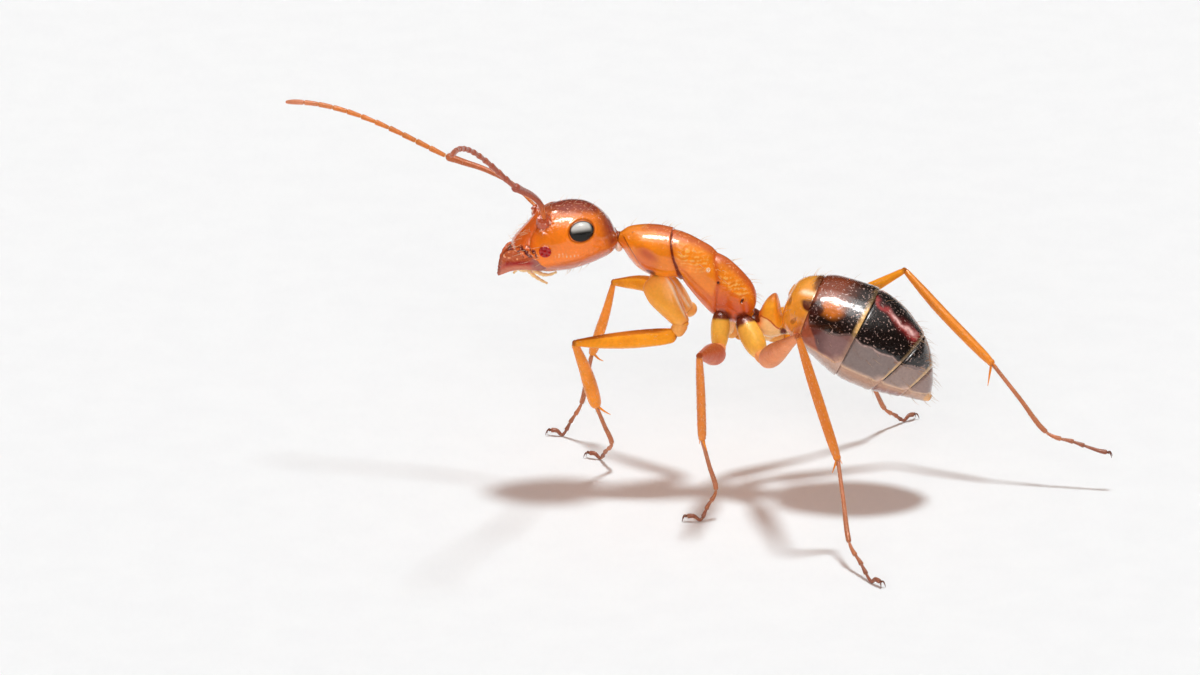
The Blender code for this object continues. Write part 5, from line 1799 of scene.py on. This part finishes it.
    # tarsus: five joints, the last with two claws
    foot = Piece("tarsus_skin_" + name)
    reach = unit(toe - ball)
    path = [ankle, ankle + (bend - ankle) * 0.5, bend, bend + (ball - bend) * 0.55, ball]
    if POSE[name][4] is not None:
        path += [ball + (toe - ball) * 0.5 + np.array([0, 0, 0.045]), toe + np.array([0, 0, 0.0])]
    else:
        path += [toe]
    dense, run, total = curve_through(path, 500)
    first = np.linalg.norm(bend - ankle) / total
    cuts = [0, first, first + 0.40 * (1 - first) * 0.62, first + 0.72 * (1 - first) * 0.62, first + (1 - first) * 0.62, 1.0]
    t = run / total
    flare = 0.058 if pair != "hind" else 0.060
    for k in range(5):
        lo, hi = cuts[k], cuts[k + 1]
        seg = dense[(t >= lo - 0.006) & (t <= hi + 0.008)]
        line = seg[:: max(1, len(seg) // 9)]
        if not np.allclose(line[-1], seg[-1]):
            line = np.concatenate([line, seg[-1:]])
        slim, wide = (0.046, flare) if k == 0 else (0.034, flare - 0.004)
        if k == 4:
            shape = ((0, 0.026), (0.2, 0.034), (0.6, 0.044), (0.9, 0.054), (1, 0.045))
        elif k == 0:
            shape = ((0, 0.050), (0.06, slim), (0.5, slim + 0.003), (0.92, wide), (1, wide * 0.92))
        else:
            shape = ((0, 0.026), (0.2, slim), (0.6, (slim + wide) / 2), (0.93, wide), (1, wide * 0.9))
        g, share, angle, _ = limb(line, shape, 40 if k else 90, 26, side=(0.3, 0.2, 1))
        foot.grid(
            g,
            {
                "joint": np.maximum(smooth(0.14, 0.0, share) * (k > 0), 0.4 * smooth(0.9, 1.0, share)),
                "brown": np.full(share.shape, smooth(0, 4, k)),
            },
        )
        LEG_GRIDS.append((g, share, 1.6 if k == 0 else 1.0))
    foot.build(foot_paint.mat, "foot", ["tarsus_" + name])

    claws = Piece("claws_" + name)
    end = dense[-1]
    ahead = unit(dense[-1] - dense[-25])
    flat = unit(np.cross(ahead, (0, 0, 1)))
    lift = np.cross(flat, ahead)
    low = end[2] - 0.008 if POSE[name][4] is not None else 0.11
    for s_ in (-1, 1):
        tipped = end + ahead * 0.10 + flat * s_ * 0.065
        tip = tipped.copy()
        tip[2] = end[2] - low
        line = [
            end + flat * s_ * 0.015 - ahead * 0.01,
            end + ahead * 0.048 + flat * s_ * 0.04 + lift * 0.015,
            end + ahead * 0.090 + flat * s_ * 0.058 + (tip - tipped) * 0.45,
            tip,
        ]
        q, qs, _, _ = limb(line, ((0, 0.021), (0.3, 0.018), (0.7, 0.010), (1, 0.004)), 40, 14, side=flat)
        claws.grid(q)
    q, qs, _, _ = limb([end - ahead * 0.01, end + ahead * 0.045], ((0, 0.022), (0.6, 0.028), (1, 0.020)), 18, 16, side=flat)
    claws.grid(q)
    claws.build(claw_paint.mat, "foot")


PAINTS = leg_paints()
for pair_ in ("fore", "mid", "hind"):
    for side_ in ("left", "right"):
        make_leg(pair_, side_, PAINTS)


# ------------------------------------------------------------------------ hairs
class Hairs:
    """Curved three-sided bristles; each is one small patch of the coat's map."""

    def __init__(self, name, seed):
        self.name, self.gen, self.parts = name, np.random.default_rng(seed), []

    def sow(self, p, weight, count, lie, length, radius, stand, tile=(0, 0, 1, 1), marks=None):
        """Roots are drawn over a grid of skin; lie is the way the coat points."""
        if count <= 0:
            return
        normals = surface_normals(p)
        area = np.linalg.norm(np.cross(np.gradient(p, axis=0), np.gradient(p, axis=1)), axis=2)
        chance = np.clip(weight, 0, None) * area
        chance[:2] = chance[-2:] = 0
        if chance.sum() <= 0:
            return
        pick = self.gen.choice(p.shape[0] * p.shape[1], size=count, p=(chance / chance.sum()).ravel())
        i, j = np.unravel_index(pick, p.shape[:2])
        normal = normals[i, j]
        lie = np.broadcast_to(lie, (count, 3)) if np.ndim(lie) == 1 else lie[i, j]
        lie = unit(lie - (lie * normal).sum(1, keepdims=True) * normal)
        swirl = self.gen.normal(0, 0.16, count)
        lie = unit(lie + np.cross(normal, lie) * swirl[:, None])
        size = self.gen.uniform(*length, count)
        up = np.clip(self.gen.normal(stand, 0.10, count), 0.05, 0.98)
        root = p[i, j] - normal * 0.012
        uv = np.stack(
            [tile[0] + tile[2] * i / (p.shape[0] - 1), tile[1] + tile[3] * j / p.shape[1]], 1
        )
        tones = {k: np.asarray(v, float)[i, j] for k, v in (marks or {}).items()}
        self.parts.append((root, normal, lie, size, np.full(count, radius), up, uv, tones))

    def build(self, mat, slot):
        root, normal, lie, size, radius, up, uv = (
            np.concatenate([q[k] for q in self.parts]) for k in range(7)
        )
        keys = sorted({k for q in self.parts for k in q[7]})
        tones = {
            k: np.concatenate([q[7].get(k, np.zeros(len(q[3]))) for q in self.parts]) for k in keys
        }
        count = len(root)
        start = unit(normal * up[:, None] + lie * (1 - up[:, None]))
        bend = lie * 0.45 - normal * 0.10
        u = unit(np.cross(start, normal + 0.31 * lie + 0.17))
        v = np.cross(start, u)
        rings = []
        shares, sizes = (0.0, 0.3, 0.62, 0.86), (1.0, 0.82, 0.55, 0.28)
        for t, w in zip(shares, sizes):
            centre = root + size[:, None] * (t * start + t * t * bend)
            for k in range(3):
                a = 2 * math.pi * k / 3
                rings.append(centre + radius[:, None] * w * (math.cos(a) * u + math.sin(a) * v))
        rings.append(root + size[:, None] * (start + bend))
        points = np.stack(rings, 1)
        per = points.shape[1]
        quads, tris = [], []
        for ring in range(3):
            for k in range(3):
                m = (k + 1) % 3
                quads.append((3 * ring + k, 3 * ring + m, 3 * ring + 3 + m, 3 * ring + 3 + k))
        for k in range(3):
            tris.append((9 + k, 9 + (k + 1) % 3, 12))
        tris.append((2, 1, 0))
        offset = (np.arange(count) * per)[:, None, None]
        all_quads = (np.array(quads)[None] + offset).reshape(-1, 4)
        all_tris = (np.array(tris)[None] + offset).reshape(-1, 3)
        local = np.array(
            [[0.0009 * math.cos(2 * math.pi * k / 3), 0.0026 * t + 0.0004 * math.sin(2 * math.pi * k / 3)] for t in shares for k in range(3)]
            + [[0.0, 0.0029]]
        )
        spot = 0.004 + 0.99 * uv
        quad_uv = (spot[:, None, None] + local[np.array(quads)][None]).reshape(-1, 2)
        tri_uv = (spot[:, None, None] + local[np.array(tris)][None]).reshape(-1, 2)
        marks = {k: np.repeat(val, per) for k, val in tones.items()}
        marks["toward_tip"] = np.tile(np.repeat([*shares, 1.0], [3, 3, 3, 3, 1]), count)
        world = (points.reshape(-1, 3) + SHIFT) * MM
        ob = mesh_of(
            self.name, world, all_quads, all_tris, np.concatenate([quad_uv, tri_uv]),
            np.zeros(len(all_quads) + len(all_tris)), marks,
        )
        ob.data.materials.append(mat)
        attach(ob, BODY)
        return ob


def hair_paint(name, base, tip, marks=()):
    p = Paint(name, rough=0.35, ior=1.55, level=0.6)
    color = p.mix(p.span(p.attr("toward_tip"), 0.0, 0.6), base, tip)
    for mark, shade in marks:
        color = p.mix(p.math("MULTIPLY", p.attr(mark), 0.55), color, shade)
    color = p.mix(p.math("MULTIPLY", p.noise(8.0, 2.0), 0.3), color, tint(base, 0.6))
    p.color(color)
    p.bumps((p.noise(60.0, 2.0), 0.0005))
    return p.mat


def make_hairs():
    gold = hair_paint(
        "hair_gold", (0.62, 0.30, 0.10), (0.86, 0.66, 0.42),
        (("dark", (0.30, 0.10, 0.04)), ("belly", (0.62, 0.46, 0.34)), ("margin", (0.85, 0.6, 0.3))),
    )
    back = np.array([0.883, 0.0, -0.469])

    gaster = Hairs("gaster_hairs", 201)
    for k, (p, s, l, n, a, before, after, is_back, marks) in enumerate(GASTER_SKIN):
        tile = (0.2 * k, 0.0, 0.195, 0.99)
        tones = {"margin": marks["margin"], "belly": marks["belly"], "dark": np.full(s.shape, 0.0 if k == 0 else 1.0)}
        seen = np.where(after > 0.02, 1.0, 0.0) if k else np.ones(s.shape)
        row = bell(before - 0.16, 0.05)
        gaster.sow(p, seen * is_back * row * (k < 4), 22, back, (0.18, 0.32), 0.0046, 0.66, tile, tones)
        gaster.sow(p, seen * (0.4 + 0.6 * is_back), 22, back, (0.12, 0.30), 0.0044, 0.70, tile, tones)
        gaster.sow(p, seen * is_back, 520 if k else 380, back, (0.030, 0.055), 0.0024, 0.14, tile, tones)
    gaster.build(gold, "gaster_brown")

    head = Hairs("head_hairs", 202)
    angles = np.arange(128) * 2 * math.pi / 128
    s, l, n, a = section_grid(HEAD, HEAD_TABLE, eased(-0.03, 2.29, 130), angles, grow=-0.008)
    p = place(HEAD, s, l, n)
    free = smooth(1.15, 1.5, eye_offsets(s, n)) + smooth(0.5, 0.3, np.abs(l))
    head.sow(p, np.clip(free, 0, 1) * smooth(0.2, 0.7, np.sin(a)), 38, -HEAD[1], (0.10, 0.24), 0.0042, 0.78)
    head.sow(p, smooth(1.6, 1.8, s) * smooth(0.0, 0.5, n), 42, HEAD[1], (0.12, 0.26), 0.0060, 0.55)
    head.sow(p, np.clip(free, 0, 1), 700, -HEAD[1], (0.025, 0.045), 0.0022, 0.12)
    head.sow(p, smooth(-0.5, -0.9, np.sin(a)), 26, HEAD[1], (0.10, 0.20), 0.0052, 0.60)
    head.build(gold, "head_shell")

    trunk = Hairs("trunk_hairs", 203)
    s, l, n, p = TRUNK_SKIN
    top = smooth(0.25, 0.7, n / np.maximum(read_table(TRUNK_TABLE, s)[..., 0], 0.1))
    trunk.sow(p, top, 46, back, (0.14, 0.30), 0.0058, 0.74)
    trunk.sow(p, np.ones(s.shape), 1100, back, (0.03, 0.06), 0.0026, 0.16)
    trunk.build(gold, "trunk_shell")

    legs = Hairs("leg_hairs", 204)
    total = len(LEG_GRIDS)
    cols = int(math.ceil(math.sqrt(total)))
    for k, (g, share, much) in enumerate(LEG_GRIDS):
        tile = ((k % cols) / cols, (k // cols) / cols, 0.94 / cols, 0.94 / cols)
        size = np.linalg.norm(g[-1].mean(0) - g[0].mean(0))
        lie = unit(g[-1].mean(0) - g[0].mean(0))
        legs.sow(g, np.ones(share.shape), int(38 * much * max(size, 0.2)), lie, (0.045, 0.085), 0.0036, 0.34, tile)
    legs.build(gold, "leg")

    down = Hairs("feeler_down", 205)
    total = len(FEELERS)
    cols = int(math.ceil(math.sqrt(total)))
    for k, (g, size) in enumerate(FEELERS):
        tile = ((k % cols) / cols, (k // cols) / cols, 0.94 / cols, 0.94 / cols)
        long = np.linalg.norm(g[-1].mean(0) - g[0].mean(0))
        lie = unit(g[-1].mean(0) - g[0].mean(0))
        down.sow(g, np.ones(g.shape[:2]), int(130 * long), lie, (size * 0.7, size * 1.15), 0.0028, 0.42, tile)
    down.build(gold, "feeler")


make_hairs()
